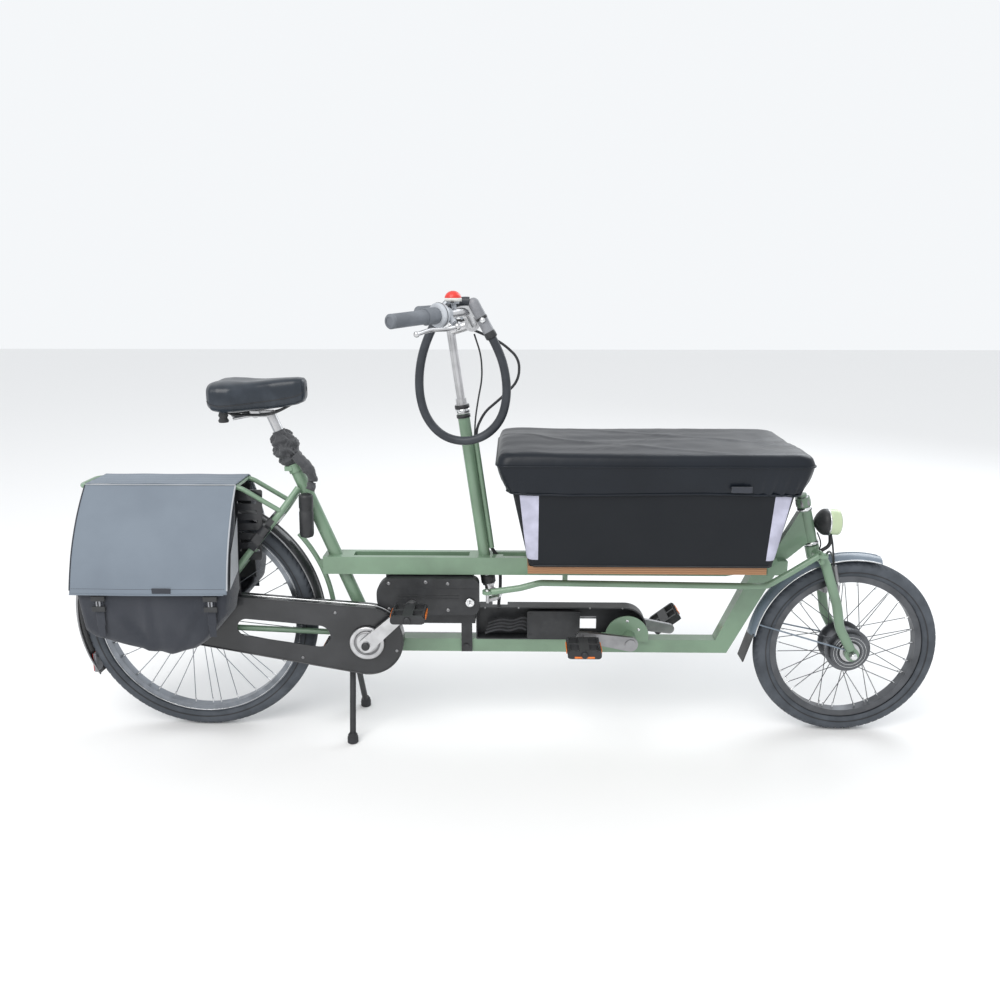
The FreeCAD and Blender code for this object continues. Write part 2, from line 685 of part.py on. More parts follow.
def brake_lever():
    """A curved blade from its pivot out along the grip."""
    start = LEVER_PIVOT
    points = [start + ALONG_GRIP * 6, on_grip(140) + LEVER_OUT * 50, on_grip(90) + LEVER_OUT * 44,
              on_grip(40) + LEVER_OUT * 52]
    blade = bar(points, 5, [0, 80, 80, 0])
    knuckle = Part.makeSphere(9, start)
    tip = Part.makeSphere(7, points[3])
    pin = rod(start - LEVER_AXIS * 12, start + LEVER_AXIS * 12, 3.5)
    return join(blade, knuckle, tip, pin)


def bell():
    centre = on_grip(212) + V(-4, -2, 34)
    dome = Part.makeSphere(19, centre).common(Part.makeBox(60, 60, 30, centre - V(30, 30, 0)))
    base = Part.makeCylinder(17, 5, centre - V(0, 0, 5.0))
    foot = rod(on_grip(212) + V(0, 0, 0), centre, 6)
    whole = join(dome, base, foot)
    return whole.cut(rod(GRIP_END, BAR_KNEE, 11))


def lock_body():
    top = V(778, -100, 1192)
    low = V(821, -100, 1113)
    return join(rod(top, low, 14), Part.makeSphere(14, top))


LOOP = [(821, 1113), (841, 1076), (857, 1022), (861, 962), (846, 903), (804, 860), (748, 846), (694, 862),
        (656, 906), (640, 962), (640, 1022), (652, 1080), (676, 1136), (708, 1180), (744, 1199), (767, 1197)]
LOOP_LIE = (-100, -101, -103, -104, -104, -102, -100, -99, -99, -100, -102, -103, -102, -100, -99, -100)


def lock_loop(body):
    """The loop of plated cable, hung over the handlebar. Prints its arcs and its length."""
    points = [V(x, y, z) for (x, z), y in zip(LOOP, LOOP_LIE)]
    radii = cord_radii(points)
    wire = path(points, radii)
    print("lock loop radii", ["%.0f" % r for r in radii[1:-1]], "length %.0f" % wire.Length)
    solid = bar(points, 11, radii)
    print("lock loop volume over section times length %.4f" % (solid.Volume / (math.pi * 121 * wire.Length)))
    return solid.cut(body)


def cord_radii(points):
    """0.45 of the shorter run over the tangent of half the turn, at each inner point."""
    radii = [0.0] * len(points)
    for i in range(1, len(points) - 1):
        before = points[i] - points[i - 1]
        after = points[i + 1] - points[i]
        half = before.getAngle(after) / 2.0
        radii[i] = 0.45 * min(before.Length, after.Length) / math.tan(half)
    return radii


def upper_cables():
    brake = [V(742, 62, 1130), V(790, 44, 1112), V(846, 30, 1088), V(892, 25, 1046), V(890, 20, 990),
             V(846, 15, 946), V(800, 9, 908), V(780, 3, 868), V(777.5, 1, 838)]
    shift = [V(776, -36, 1114), V(793, -26, 1060), V(795, -13, 1000), V(784, -7, 945), V(775.5, -5, 890),
             V(773.5, -4, 838)]
    return group(bar(brake, 3.5, cord_radii(brake)), bar(shift, 2.2, cord_radii(shift)))


def lower_cables():
    points = [V(818.5, 1, 533), V(839, 10, 500), V(843, 12, 430), V(836, 10, 352)]
    return bar(points, 4.5, cord_radii(points))


def steering_rod():
    points = [BALL + V(10, 0, 0), V(896, -88, 449), V(949, -88, 464), V(1549, -89, 458), V(1606, -90, 494),
              FORK_BALL + V(-11, 0, 0)]
    shank = bar(points, 8.5, [0, 60, 60, 50, 60, 0])
    eyes = [Part.makeCylinder(14, 9, p - V(0, 0, 4.5)) for p in (BALL, FORK_BALL)]
    whole = join(shank, *eyes)
    whole = whole.cut(Part.makeSphere(9.3, BALL))
    whole = whole.cut(Part.makeCylinder(9.3, 40, BALL - V(0, 0, 44)).cut(Part.makeCylinder(14, 40, BALL - V(0, 0, 4.5))))
    return whole.cut(Part.makeCylinder(10.6, 40, FORK_BALL - V(0, 0, 20)))


def fork():
    steerer = rod(on_head(516), on_head(690), 12.7)
    crown = rod(on_head(514), on_head(547.5), 19)
    locknut = rod(on_head(656.6), on_head(681), 19)
    z = FORK_BALL_Z - 17
    points = [V(1697, 2, 528.5), V(1705, 62, 529), V(1752, 62, 396), V(1765, 62, 330), V(1800, 62, 268)]
    blade = bar(points, 13, [0, 30, 160, 90, 0])
    end = disc(WHEELBASE, FRONT_R, 56.5, 66.8, 19)
    arm = rod(V(1692, -60, z), V(FORK_BALL.x, FORK_BALL.y, z), 8)
    stud = rod(V(FORK_BALL.x, FORK_BALL.y, z - 3), FORK_BALL, 5)
    ball = Part.makeSphere(9, FORK_BALL)
    whole = join(steerer, crown, locknut, blade, mirror(blade), end, mirror(end), arm, stud, ball)
    return whole.cut(disc(WHEELBASE, FRONT_R, -90, 90, 6))


def front_fender(fork_shape):
    shell = mudguard(WHEELBASE, FRONT_R, 273, 13, 30, 74, 98)
    stay = rod(around(WHEELBASE, FRONT_R, 261.3, 164, 27), V(1798, 60, 262), 2.2)
    bridge = rod(around(WHEELBASE, FRONT_R, 271, 112), on_head(517), 6)
    return join(shell, stay, mirror(stay), bridge).cut(fork_shape)


def mudflap(guard_shape):
    return plate([(1543, 296), (1546, 296), (1521, 213), (1518, 213)], -28, 28).cut(guard_shape)


def headlamp():
    bowl = rod(V(1716, 0, 612), V(1752, 0, 612), 34)
    back = Part.makeSphere(30, V(1722, 0, 612)).common(block(1690, 1722, -40, 40, 570, 660))
    lens = rod(V(1752, 0, 612), V(1758, 0, 612), 32)
    arm = bar([V(1708, 0, 524), V(1742, 0, 546), V(1738, 0, 584)], 5, [0, 22, 0])
    return join(bowl, back, lens, arm)


def front_brake(fork_shape, guard_shape):
    arm = bar([V(1754, 40, 396), V(1757, 41, 440), V(1742, 42, 502)], 7, [0, 60, 0])
    boss = rod(V(1754, 40, 402), V(1745, 56, 402), 7)
    pad = rod(V(1750, 40, 447), V(1746, 18, 445), 6)
    noodle = bar([V(1742, 42, 500), V(1742, -10, 540), V(1742, -42, 500)], 3, [0, 30, 0])
    side = join(arm, boss, pad)
    return join(side, mirror(side), noodle).cut(fork_shape).cut(guard_shape)


# ---- build and save every piece ----
ladder = rails()
beam = lower_beam(ladder)
seat = seat_tube(ladder)
lower_stays = chain_stays()
upper_stays = seat_stays(seat, lower_stays)
rack = rear_rack(upper_stays, lower_stays)
fender = rear_fender()
guard = coat_guard().cut(fender)
horseshoe = ring_lock(guard, upper_stays, fender)
box = cargo_box()
fork_shape = fork()
shackle = lock_body()
right_bag = mirror(pannier_bag()).cut(link(REAR_CRANK_X, 290, 101, 10, 352, 77, -83, -60))
front_guard = front_fender(fork_shape)

save("ladder_rails", ladder)
save("lower_beam", beam)
save("crank_shells", crank_shells())
save("seat_tube", seat)
save("steering_sleeve", steering_sleeve())
save("head_tube", head_tube())
save("chain_stays", lower_stays)
save("seat_stays", group(upper_stays, wheel_arch(lower_stays, ladder)))
save("rear_rack", rack)
save("rear_fender", fender)
save("coat_guard", guard)
save("ring_lock", horseshoe)
save("chain_lock", group(lock_sleeve(seat), lock_cylinder()))
save("chain_case", chain_case(upper_stays, rack))
save("chains", chains())
save("battery_case", join(battery_case(), battery_bracket()))
save("timing_case", join(timing_case(), controller_cover()))
save("lower_cables", lower_cables())
save("rear_axle", axle(0, REAR_R, 72, 5, 64, 72))
save("cargo_floor", cargo_floor())
save("cargo_box", box)
save("corner_strips", corner_strips())
save("cargo_cover", cargo_cover())
save("pannier_strip", pannier_strip())
save("pannier_right", group(right_bag, pannier_buckles()))
save("pannier_left", pannier_bag())
save("flap_right", mirror(pannier_flap()))
save("flap_left", pannier_flap())

rear_hub = hub(0, REAR_R, 44, 15, 28, 28, 5 + FIT)
save("rear_tyre", tyre(0, REAR_R, REAR_TYRE, 288))
save("rear_rim", rim_and_spokes(0, REAR_R, 288, 270, 13, 26, 28, 42).cut(rear_hub))
save("rear_hub", rear_hub)
save("rear_sprocket", rear_sprocket())
save("rear_crank", rear_crank())
save("front_crank", front_crank())
save("rear_pedal_right", pedal(REAR_CRANK_X, REAR_CRANK_LENGTH, REAR_CRANK_TURN, -1, 113, 0))
save("rear_pedal_left", pedal(REAR_CRANK_X, REAR_CRANK_LENGTH, REAR_CRANK_TURN, 1, 113, 0))
save("front_pedal_right", pedal(FRONT_CRANK_X, FRONT_CRANK_LENGTH, FRONT_CRANK_TURN, -1, 112, 0))
save("front_pedal_left", pedal(FRONT_CRANK_X, FRONT_CRANK_LENGTH, FRONT_CRANK_TURN, 1, 112, -38))
save("kickstand", kickstand())
save("seat_post", seat_post())
save("saddle", saddle())

save("steering_column", steering_column())
save("handlebar", handlebar())
save("grips", grips())
save("bar_fittings", group(shifter_housings(), bell()))
save("brake_lever_right", brake_lever())
save("brake_lever_left", mirror(brake_lever()))
save("lock_body", shackle)
save("lock_loop", lock_loop(shackle))
save("upper_cables", upper_cables())
save("steering_rod", steering_rod())

front_hub = hub(WHEELBASE, FRONT_R, 46, 52, 58, 30, 6 + FIT)
save("fork", fork_shape)
save("front_fender", front_guard)
save("mudflap", mudflap(front_guard))
save("headlamp", headlamp().cut(fork_shape))
save("front_brake", front_brake(fork_shape, front_guard))
save("front_axle", axle(WHEELBASE, FRONT_R, 78, 6, 67, 76))
save("front_tyre", tyre(WHEELBASE, FRONT_R, FRONT_TYRE, 210))
save("front_rim", rim_and_spokes(WHEELBASE, FRONT_R, 210, 192, 15, 56, 30, 24).cut(front_hub))
save("front_hub", front_hub)
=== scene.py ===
import bpy
import numpy as np
from math import acos, atan2, copysign, cos, exp, hypot, pi, radians, sin, tan
from mathutils import Matrix, Vector


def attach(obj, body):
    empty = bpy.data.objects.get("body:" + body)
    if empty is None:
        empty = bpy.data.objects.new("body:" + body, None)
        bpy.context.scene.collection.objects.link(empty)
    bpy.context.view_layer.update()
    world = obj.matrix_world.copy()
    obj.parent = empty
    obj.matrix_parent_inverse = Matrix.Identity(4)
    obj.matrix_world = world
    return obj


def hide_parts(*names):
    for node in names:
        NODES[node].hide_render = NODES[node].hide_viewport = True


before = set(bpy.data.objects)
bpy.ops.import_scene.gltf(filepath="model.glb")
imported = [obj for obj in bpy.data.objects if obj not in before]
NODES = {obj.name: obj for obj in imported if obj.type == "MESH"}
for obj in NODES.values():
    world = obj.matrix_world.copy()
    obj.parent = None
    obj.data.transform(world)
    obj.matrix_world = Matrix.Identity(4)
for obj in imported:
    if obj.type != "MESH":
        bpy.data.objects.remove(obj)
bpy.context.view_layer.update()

MM = 0.001
ORIGIN_X = 853.0      # the model's origin, measured forward from the rear axle
WHEELBASE = 1805.0
REAR_R = 330.0
FRONT_R = 253.0
CRANK_Z = 288.0
REAR_CRANK_X = 480.0
FRONT_CRANK_X = 1197.0
COLUMN_LEAN = radians(8)
HEAD_LEAN = radians(15)
BAR_END = Vector((600.0, -298.0, 1157.0))     # the right end of the handlebar, in millimetres
BAR_KNEE = Vector((757.0, -106.0, 1172.0))    # where the bar bends in toward the stem


# ---- helpers ----
def at(x, y, z):
    """A point in metres, from millimetres forward of the rear axle, left and up."""
    return Vector(((x - ORIGIN_X) * MM, y * MM, z * MM))


def around(x, z, radius, degrees, y=0.0):
    """A point at a radius and an angle about a crosswise axle at x, z."""
    turn = radians(degrees)
    return at(x + radius * cos(turn), y, z + radius * sin(turn))


def smooth_noise(p, scale, seed):
    """A soft, repeatable wobble of about -1 to 1 at each point of an array."""
    rng = np.random.default_rng(seed)
    total = np.zeros(len(p))
    for octave in range(7):
        wave = rng.normal(size=3) * scale * (0.6 + 0.35 * octave)
        total += np.sin(p @ wave + rng.uniform(0, 6.28)) / (1.0 + 0.35 * octave)
    return total / 2.6


def mesh_object(name, points, faces, body, material=None, smooth=True):
    """A mesh from points in metres, riding a body. Spaces in its name become low lines."""
    name = name.replace(" ", "_")
    data = bpy.data.meshes.new(name)
    data.from_pydata([tuple(p) for p in points], [], [tuple(f) for f in faces])
    data.update()
    data.polygons.foreach_set("use_smooth", [smooth] * len(data.polygons))
    piece = bpy.data.objects.new(name, data)
    bpy.context.scene.collection.objects.link(piece)
    if material:
        data.materials.append(material)
    if body:
        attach(piece, body)
    return piece


def grid_faces(rows, columns, wrap_rows=False, wrap_columns=False):
    """Four-sided faces over points that lie row after row."""
    faces = []
    for i in range(rows if wrap_rows else rows - 1):
        for j in range(columns if wrap_columns else columns - 1):
            a = i * columns + j
            b = i * columns + (j + 1) % columns
            c = ((i + 1) % rows) * columns + (j + 1) % columns
            d = ((i + 1) % rows) * columns + j
            faces.append((a, b, c, d))
    return faces


def thicken(piece, thickness, offset=-1.0):
    modifier = piece.modifiers.new("thickness", "SOLIDIFY")
    modifier.thickness = thickness
    modifier.offset = offset
    return piece


def strand(name, points, radius, body, material, order=3):
    """A round strand along its points, which are in metres."""
    name = name.replace(" ", "_")
    curve = bpy.data.curves.new(name, "CURVE")
    curve.dimensions = "3D"
    curve.bevel_depth = radius
    curve.bevel_resolution = 4
    curve.use_fill_caps = True
    curve.resolution_u = 12
    line = curve.splines.new("NURBS")
    line.points.add(len(points) - 1)
    for spot, point in zip(line.points, points):
        spot.co = (point[0], point[1], point[2], 1.0)
    line.order_u = min(order, len(points))
    line.use_endpoint_u = True
    piece = bpy.data.objects.new(name, curve)
    bpy.context.scene.collection.objects.link(piece)
    curve.materials.append(material)
    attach(piece, body)
    return piece


def cuboid(name, low, high, body, material, bevel=0.001):
    """A box between two corners in metres, with softened edges."""
    x0, y0, z0 = low
    x1, y1, z1 = high
    points = [(x0, y0, z0), (x1, y0, z0), (x1, y1, z0), (x0, y1, z0), (x0, y0, z1), (x1, y0, z1),
              (x1, y1, z1), (x0, y1, z1)]
    faces = [(0, 3, 2, 1), (4, 5, 6, 7), (0, 1, 5, 4), (1, 2, 6, 5), (2, 3, 7, 6), (3, 0, 4, 7)]
    piece = mesh_object(name, points, faces, body, material, smooth=False)
    edge = piece.modifiers.new("edge", "BEVEL")
    edge.width = bevel
    edge.segments = 2
    return piece


def side_box(name, side, x, y, z, body, material, bevel=0.001):
    """A cuboid from pairs of x, y and z in millimetres, on one side of the bicycle."""
    y0, y1 = sorted((side * y[0], side * y[1]))
    return cuboid(name, at(x[0], y0, z[0]), at(x[1], y1, z[1]), body, material, bevel)


def lathe(name, profile, centre, axis, body, material, steps=48):
    """A turned piece: (radius, height) pairs in millimetres about an axis."""
    axis = Vector(axis).normalized()
    turn = Vector((0, 0, 1)).rotation_difference(axis).to_matrix()
    points = []
    for radius, height in profile:
        for k in range(steps):
            angle = 2 * pi * k / steps
            spot = Vector((radius * cos(angle), radius * sin(angle), height)) * MM
            points.append(centre + turn @ spot)
    faces = grid_faces(len(profile), steps, wrap_columns=True)
    piece = mesh_object(name, points, faces, body, material)
    return piece


# ---- materials ----
def new_material(name, colour, rough, metal=0.0, coat=0.0, sheen=0.0):
    made = bpy.data.materials.new(name)
    made.use_nodes = True
    shader = made.node_tree.nodes["Principled BSDF"]
    shader.inputs["Base Color"].default_value = (*colour, 1.0)
    shader.inputs["Roughness"].default_value = rough
    shader.inputs["Metallic"].default_value = metal
    shader.inputs["Coat Weight"].default_value = coat
    shader.inputs["Sheen Weight"].default_value = sheen
    return made


def add(made, kind, **values):
    """A new shader node, with values for its inputs or its properties."""
    node = made.node_tree.nodes.new(kind)
    for key, value in values.items():
        if key in node.inputs:
            node.inputs[key].default_value = value
        else:
            setattr(node, key, value)
    return node


def surface(made):
    """A material's links, its shader and its object coordinates."""
    where = made.node_tree.nodes.new("ShaderNodeTexCoord")
    shader = made.node_tree.nodes["Principled BSDF"]
    return made.node_tree.links, shader, where.outputs["Object"]


def set_value(made, socket, value):
    made.node_tree.nodes["Principled BSDF"].inputs[socket].default_value = value


def tint(made, colour, other, scale, low=0.35, high=0.7, detail=6.0):
    """Uneven colour between two tones, as dirt or wear leaves it."""
    links, shader, where = surface(made)
    noise = add(made, "ShaderNodeTexNoise", Scale=scale, Detail=detail)
    ramp = add(made, "ShaderNodeValToRGB")
    ramp.color_ramp.elements[0].position = low
    ramp.color_ramp.elements[0].color = (*colour, 1.0)
    ramp.color_ramp.elements[1].position = high
    ramp.color_ramp.elements[1].color = (*other, 1.0)
    links.new(where, noise.inputs["Vector"])
    links.new(noise.outputs["Fac"], ramp.inputs["Fac"])
    links.new(ramp.outputs["Color"], shader.inputs["Base Color"])
    return made


def vary_rough(made, scale, low, high):
    """Uneven gloss, between two roughnesses."""
    links, shader, where = surface(made)
    noise = add(made, "ShaderNodeTexNoise", Scale=scale, Detail=5.0)
    spread = add(made, "ShaderNodeMapRange")
    spread.inputs["To Min"].default_value = low
    spread.inputs["To Max"].default_value = high
    links.new(where, noise.inputs["Vector"])
    links.new(noise.outputs["Fac"], spread.inputs["Value"])
    links.new(spread.outputs["Result"], shader.inputs["Roughness"])
    return made


def bump(made, scale, strength, distance, kind="noise"):
    """Fine relief: noise for grain and dents, weave for cloth."""
    links, shader, where = surface(made)
    relief = add(made, "ShaderNodeBump", Strength=strength, Distance=distance)
    if kind == "weave":
        first = add(made, "ShaderNodeTexWave", Scale=scale, Distortion=0.6)
        second = add(made, "ShaderNodeTexWave", Scale=scale, Distortion=0.6)
        first.bands_direction = "X"
        second.bands_direction = "Z"
        mix = add(made, "ShaderNodeMath")
        mix.operation = "ADD"
        for wave, slot_number in ((first, 0), (second, 1)):
            links.new(where, wave.inputs["Vector"])
            links.new(wave.outputs["Fac"], mix.inputs[slot_number])
        links.new(mix.outputs["Value"], relief.inputs["Height"])
    else:
        noise = add(made, "ShaderNodeTexNoise", Scale=scale, Detail=8.0)
        links.new(where, noise.inputs["Vector"])
        links.new(noise.outputs["Fac"], relief.inputs["Height"])
    links.new(relief.outputs["Normal"], shader.inputs["Normal"])
    return made


def painted(name, colour, dirt, rough=0.32):
    made = new_material(name, colour, rough, coat=0.35)
    tint(made, colour, dirt, 9.0, 0.42, 0.85)
    vary_rough(made, 14.0, rough - 0.06, rough + 0.16)
    return bump(made, 420.0, 0.06, 0.0006)


def plastic(name, colour, rough=0.5):
    made = new_material(name, colour, rough)
    tint(made, colour, tuple(min(1, c * 1.5 + 0.012) for c in colour), 22.0, 0.4, 0.8)
    vary_rough(made, 18.0, rough - 0.08, rough + 0.12)
    return bump(made, 900.0, 0.12, 0.0006)


def metal(name, colour, rough=0.3):
    made = new_material(name, colour, rough, metal=1.0)
    tint(made, colour, tuple(c * 0.6 for c in colour), 26.0, 0.4, 0.85)
    vary_rough(made, 40.0, rough - 0.08, rough + 0.18)
    return bump(made, 500.0, 0.08, 0.0005)


def cloth(name, colour, other, weave=900.0, rough=0.85, sheen=0.25):
    made = new_material(name, colour, rough, sheen=sheen)
    tint(made, colour, other, 7.0, 0.35, 0.75)
    return bump(made, weave, 0.25, 0.0006, "weave")


SAGE = painted("sage paint", (0.180, 0.282, 0.190), (0.130, 0.195, 0.135))
BLACK_PAINT = painted("black paint", (0.012, 0.013, 0.015), (0.035, 0.036, 0.040), 0.3)
BLACK_PLASTIC = plastic("black plastic", (0.016, 0.017, 0.019), 0.45)
BOX_PANEL = cloth("box panel", (0.0065, 0.0085, 0.012), (0.0085, 0.0105, 0.014), 600.0, 0.55, 0.04)
SILVER = metal("silver", (0.62, 0.62, 0.63), 0.28)
STEEL = metal("dull steel", (0.34, 0.34, 0.35), 0.42)
CHROME = metal("chrome", (0.78, 0.79, 0.80), 0.14)
GUARD_BLUE = painted("mudguard blue grey", (0.17, 0.21, 0.26), (0.11, 0.14, 0.18), 0.26)
RUBBER = plastic("rubber", (0.022, 0.023, 0.026), 0.72)
TYRE = plastic("tyre rubber", (0.050, 0.058, 0.070), 0.72)
GRIP = plastic("grip rubber", (0.120, 0.132, 0.150), 0.55)
GREY_CLOTH = cloth("grey pannier cloth", (0.180, 0.215, 0.258), (0.155, 0.186, 0.226), 900.0, 0.8, 0.1)
DARK_CLOTH = cloth("black pannier cloth", (0.022, 0.026, 0.036), (0.038, 0.042, 0.054))
COVER_CLOTH = new_material("cover cloth", (0.004, 0.0065, 0.011), 0.34)
tint(COVER_CLOTH, (0.0040, 0.0065, 0.0110), (0.0075, 0.0110, 0.0175), 5.0)
vary_rough(COVER_CLOTH, 6.0, 0.26, 0.46)
bump(COVER_CLOTH, 26.0, 0.22, 0.004)
set_value(COVER_CLOTH, "Specular IOR Level", 0.3)
SLEEVE_CLOTH = cloth("lock sleeve cloth", (0.030, 0.032, 0.037), (0.062, 0.064, 0.070), 500.0, 0.6)
REFLECT = plastic("reflective strip", (0.40, 0.40, 0.50), 0.4)
PIPING = cloth("pale piping", (0.45, 0.47, 0.50), (0.35, 0.37, 0.40))
set_value(BOX_PANEL, "Specular IOR Level", 0.25)
LEATHER = plastic("saddle cover", (0.012, 0.018, 0.027), 0.30)
CABLE = plastic("lock cable cover", (0.018, 0.022, 0.029), 0.42)
LOCK_GREY = plastic("lock grey", (0.18, 0.185, 0.20), 0.4)
RIM = metal("rear rim", (0.27, 0.29, 0.32), 0.34)
DARK_RIM = metal("front rim", (0.13, 0.135, 0.145), 0.36)
HUB_DARK = metal("motor hub", (0.15, 0.155, 0.165), 0.34)
# The lamp's shell is sage paint; this light lime green is that paint as lit by the sky, a painted
# highlight over the whole shell.
LAMP_SHELL_PAINTED_HIGHLIGHT = plastic("lamp shell painted highlight", (0.52, 0.62, 0.40), 0.22)
HOUSING = plastic("housing grey", (0.36, 0.38, 0.41), 0.38)
RED = plastic("red plastic", (0.55, 0.03, 0.02), 0.3)
WHITE = plastic("white plastic", (0.62, 0.62, 0.60), 0.35)
ORANGE = plastic("orange reflector", (0.72, 0.17, 0.02), 0.2)
RED_REFLECTOR = plastic("red reflector", (0.40, 0.015, 0.012), 0.18)
LENS = new_material("lamp lens", (0.80, 0.80, 0.72), 0.12)
set_value(LENS, "Transmission Weight", 0.5)
bump(LENS, 260.0, 0.3, 0.001)


def wood_material():
    made = new_material("plywood", (0.33, 0.17, 0.08), 0.55)
    links, shader, where = surface(made)
    plies = add(made, "ShaderNodeTexWave", Scale=60.0, Distortion=1.5)
    plies.bands_direction = "Z"
    plies.inputs["Detail"].default_value = 3.0
    ramp = add(made, "ShaderNodeValToRGB")
    ramp.color_ramp.elements[0].color = (0.38, 0.20, 0.095, 1)
    ramp.color_ramp.elements[1].color = (0.20, 0.095, 0.045, 1)
    links.new(where, plies.inputs["Vector"])
    links.new(plies.outputs["Fac"], ramp.inputs["Fac"])
    links.new(ramp.outputs["Color"], shader.inputs["Base Color"])
    return made


WOOD = wood_material()
LOOK = {
    SAGE: ("ladder_rails", "lower_beam", "crank_shells", "seat_tube", "steering_sleeve",
           "head_tube", "chain_stays", "seat_stays", "rear_rack", "steering_rod", "fork"),
    BLACK_PAINT: ("rear_fender", "coat_guard", "ring_lock", "chain_case"),
    BLACK_PLASTIC: ("battery_case", "timing_case", "mudflap", "brake_lever_left", "kickstand",
                    "rear_pedal_right", "rear_pedal_left", "front_pedal_right",
                    "front_pedal_left", "chain_lock", "headlamp"),
    RIM: ("rear_rim",),
    DARK_RIM: ("front_rim",),
    HUB_DARK: ("front_hub",),
    SILVER: ("rear_hub", "rear_crank", "steering_column", "handlebar", "brake_lever_right",
             "seat_post", "rear_axle", "front_axle"),
    STEEL: ("chains", "rear_sprocket", "front_brake", "front_crank"),
    TYRE: ("rear_tyre", "front_tyre"),
    GRIP: ("grips",),
    RUBBER: ("lower_cables", "upper_cables"),
    HOUSING: ("bar_fittings",),
    LOCK_GREY: ("lock_body",),
    CABLE: ("lock_loop",),
    GREY_CLOTH: ("flap_right", "flap_left", "pannier_strip"),
    DARK_CLOTH: ("pannier_right", "pannier_left"),
    COVER_CLOTH: ("cargo_cover",),
    BOX_PANEL: ("cargo_box",),
    REFLECT: ("corner_strips",),
    WOOD: ("cargo_floor",),
    LEATHER: ("saddle",),
    GUARD_BLUE: ("front_fender",),
}
for look, names in LOOK.items():
    for name in names:
        node = NODES[name]
        for holder in node.material_slots:
            holder.link = "OBJECT"
            holder.material = look


# ---- wheels ----
SPOKES = 36
WHEELS = {
    "rear": {"x": 0.0, "radius": REAR_R, "body": "rear_wheel", "band": (301.0, 22.6),
             "edge": 284.5, "nipples": 270.0, "spread": 42},
    "front": {"x": WHEELBASE, "radius": FRONT_R, "body": "front_wheel", "band": (223.0, 24.2),
              "edge": 206.5, "nipples": 192.0, "spread": 24},
}
BAND_WIDTH, BAND_THICK = 3.0, 1.2


def tyre_mesh(name, node, x, radius, half, rim_out, blocks, body):
    """A tyre casing with a patterned tread: a ribbed centre and slanted shoulder cuts."""
    around_steps = blocks * 8
    section_steps = 44
    points = []
    for i in range(around_steps):
        turn = 2 * pi * i / around_steps
        for j in range(section_steps):
            share = j / (section_steps - 1)
            angle = (share - 0.5) * 2 * (pi - acos(1 - (rim_out - radius + 2 * half) / half))
            side = half * sin(angle)
            reach = (radius - half) + half * cos(angle)
            tread = abs(angle) < 1.0
            cut = 0.0
            if tread:
                slant = i % 8 + abs(angle) * 5.0
                shoulder = 0.30 < abs(angle) < 0.95 and slant % 8 < 2.2
                groove = 0.20 < abs(angle) < 0.30
                cut = 1.5 if shoulder or groove else 0.0
            reach -= cut * cos(angle)
            side -= cut * sin(angle)
            points.append(at(x + reach * cos(turn), side, radius + reach * sin(turn)))
    faces = grid_faces(around_steps, section_steps, wrap_rows=True)
    piece = mesh_object(name, points, faces, body, TYRE)
    thicken(piece, 0.003)
    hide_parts(node)
    return piece


def band(name, x, z, radius, y, width, body, material, start=0.0, sweep=360.0, thick=1.2):
    """A flat ring or arc of strip about an axle, standing on the side face at y."""
    steps = max(12, int(abs(sweep) / 3))
    points = []
    for i in range(steps + 1):
        turn = start + sweep * i / steps
        for reach, side in ((radius - width / 2, y), (radius + width / 2, y),
                            (radius + width / 2, y - thick), (radius - width / 2, y - thick)):
            points.append(around(x, z, reach, turn, side))
    faces = grid_faces(steps + 1, 4, wrap_columns=True)
    piece = mesh_object(name, points, faces, body, material, smooth=False)
    return piece


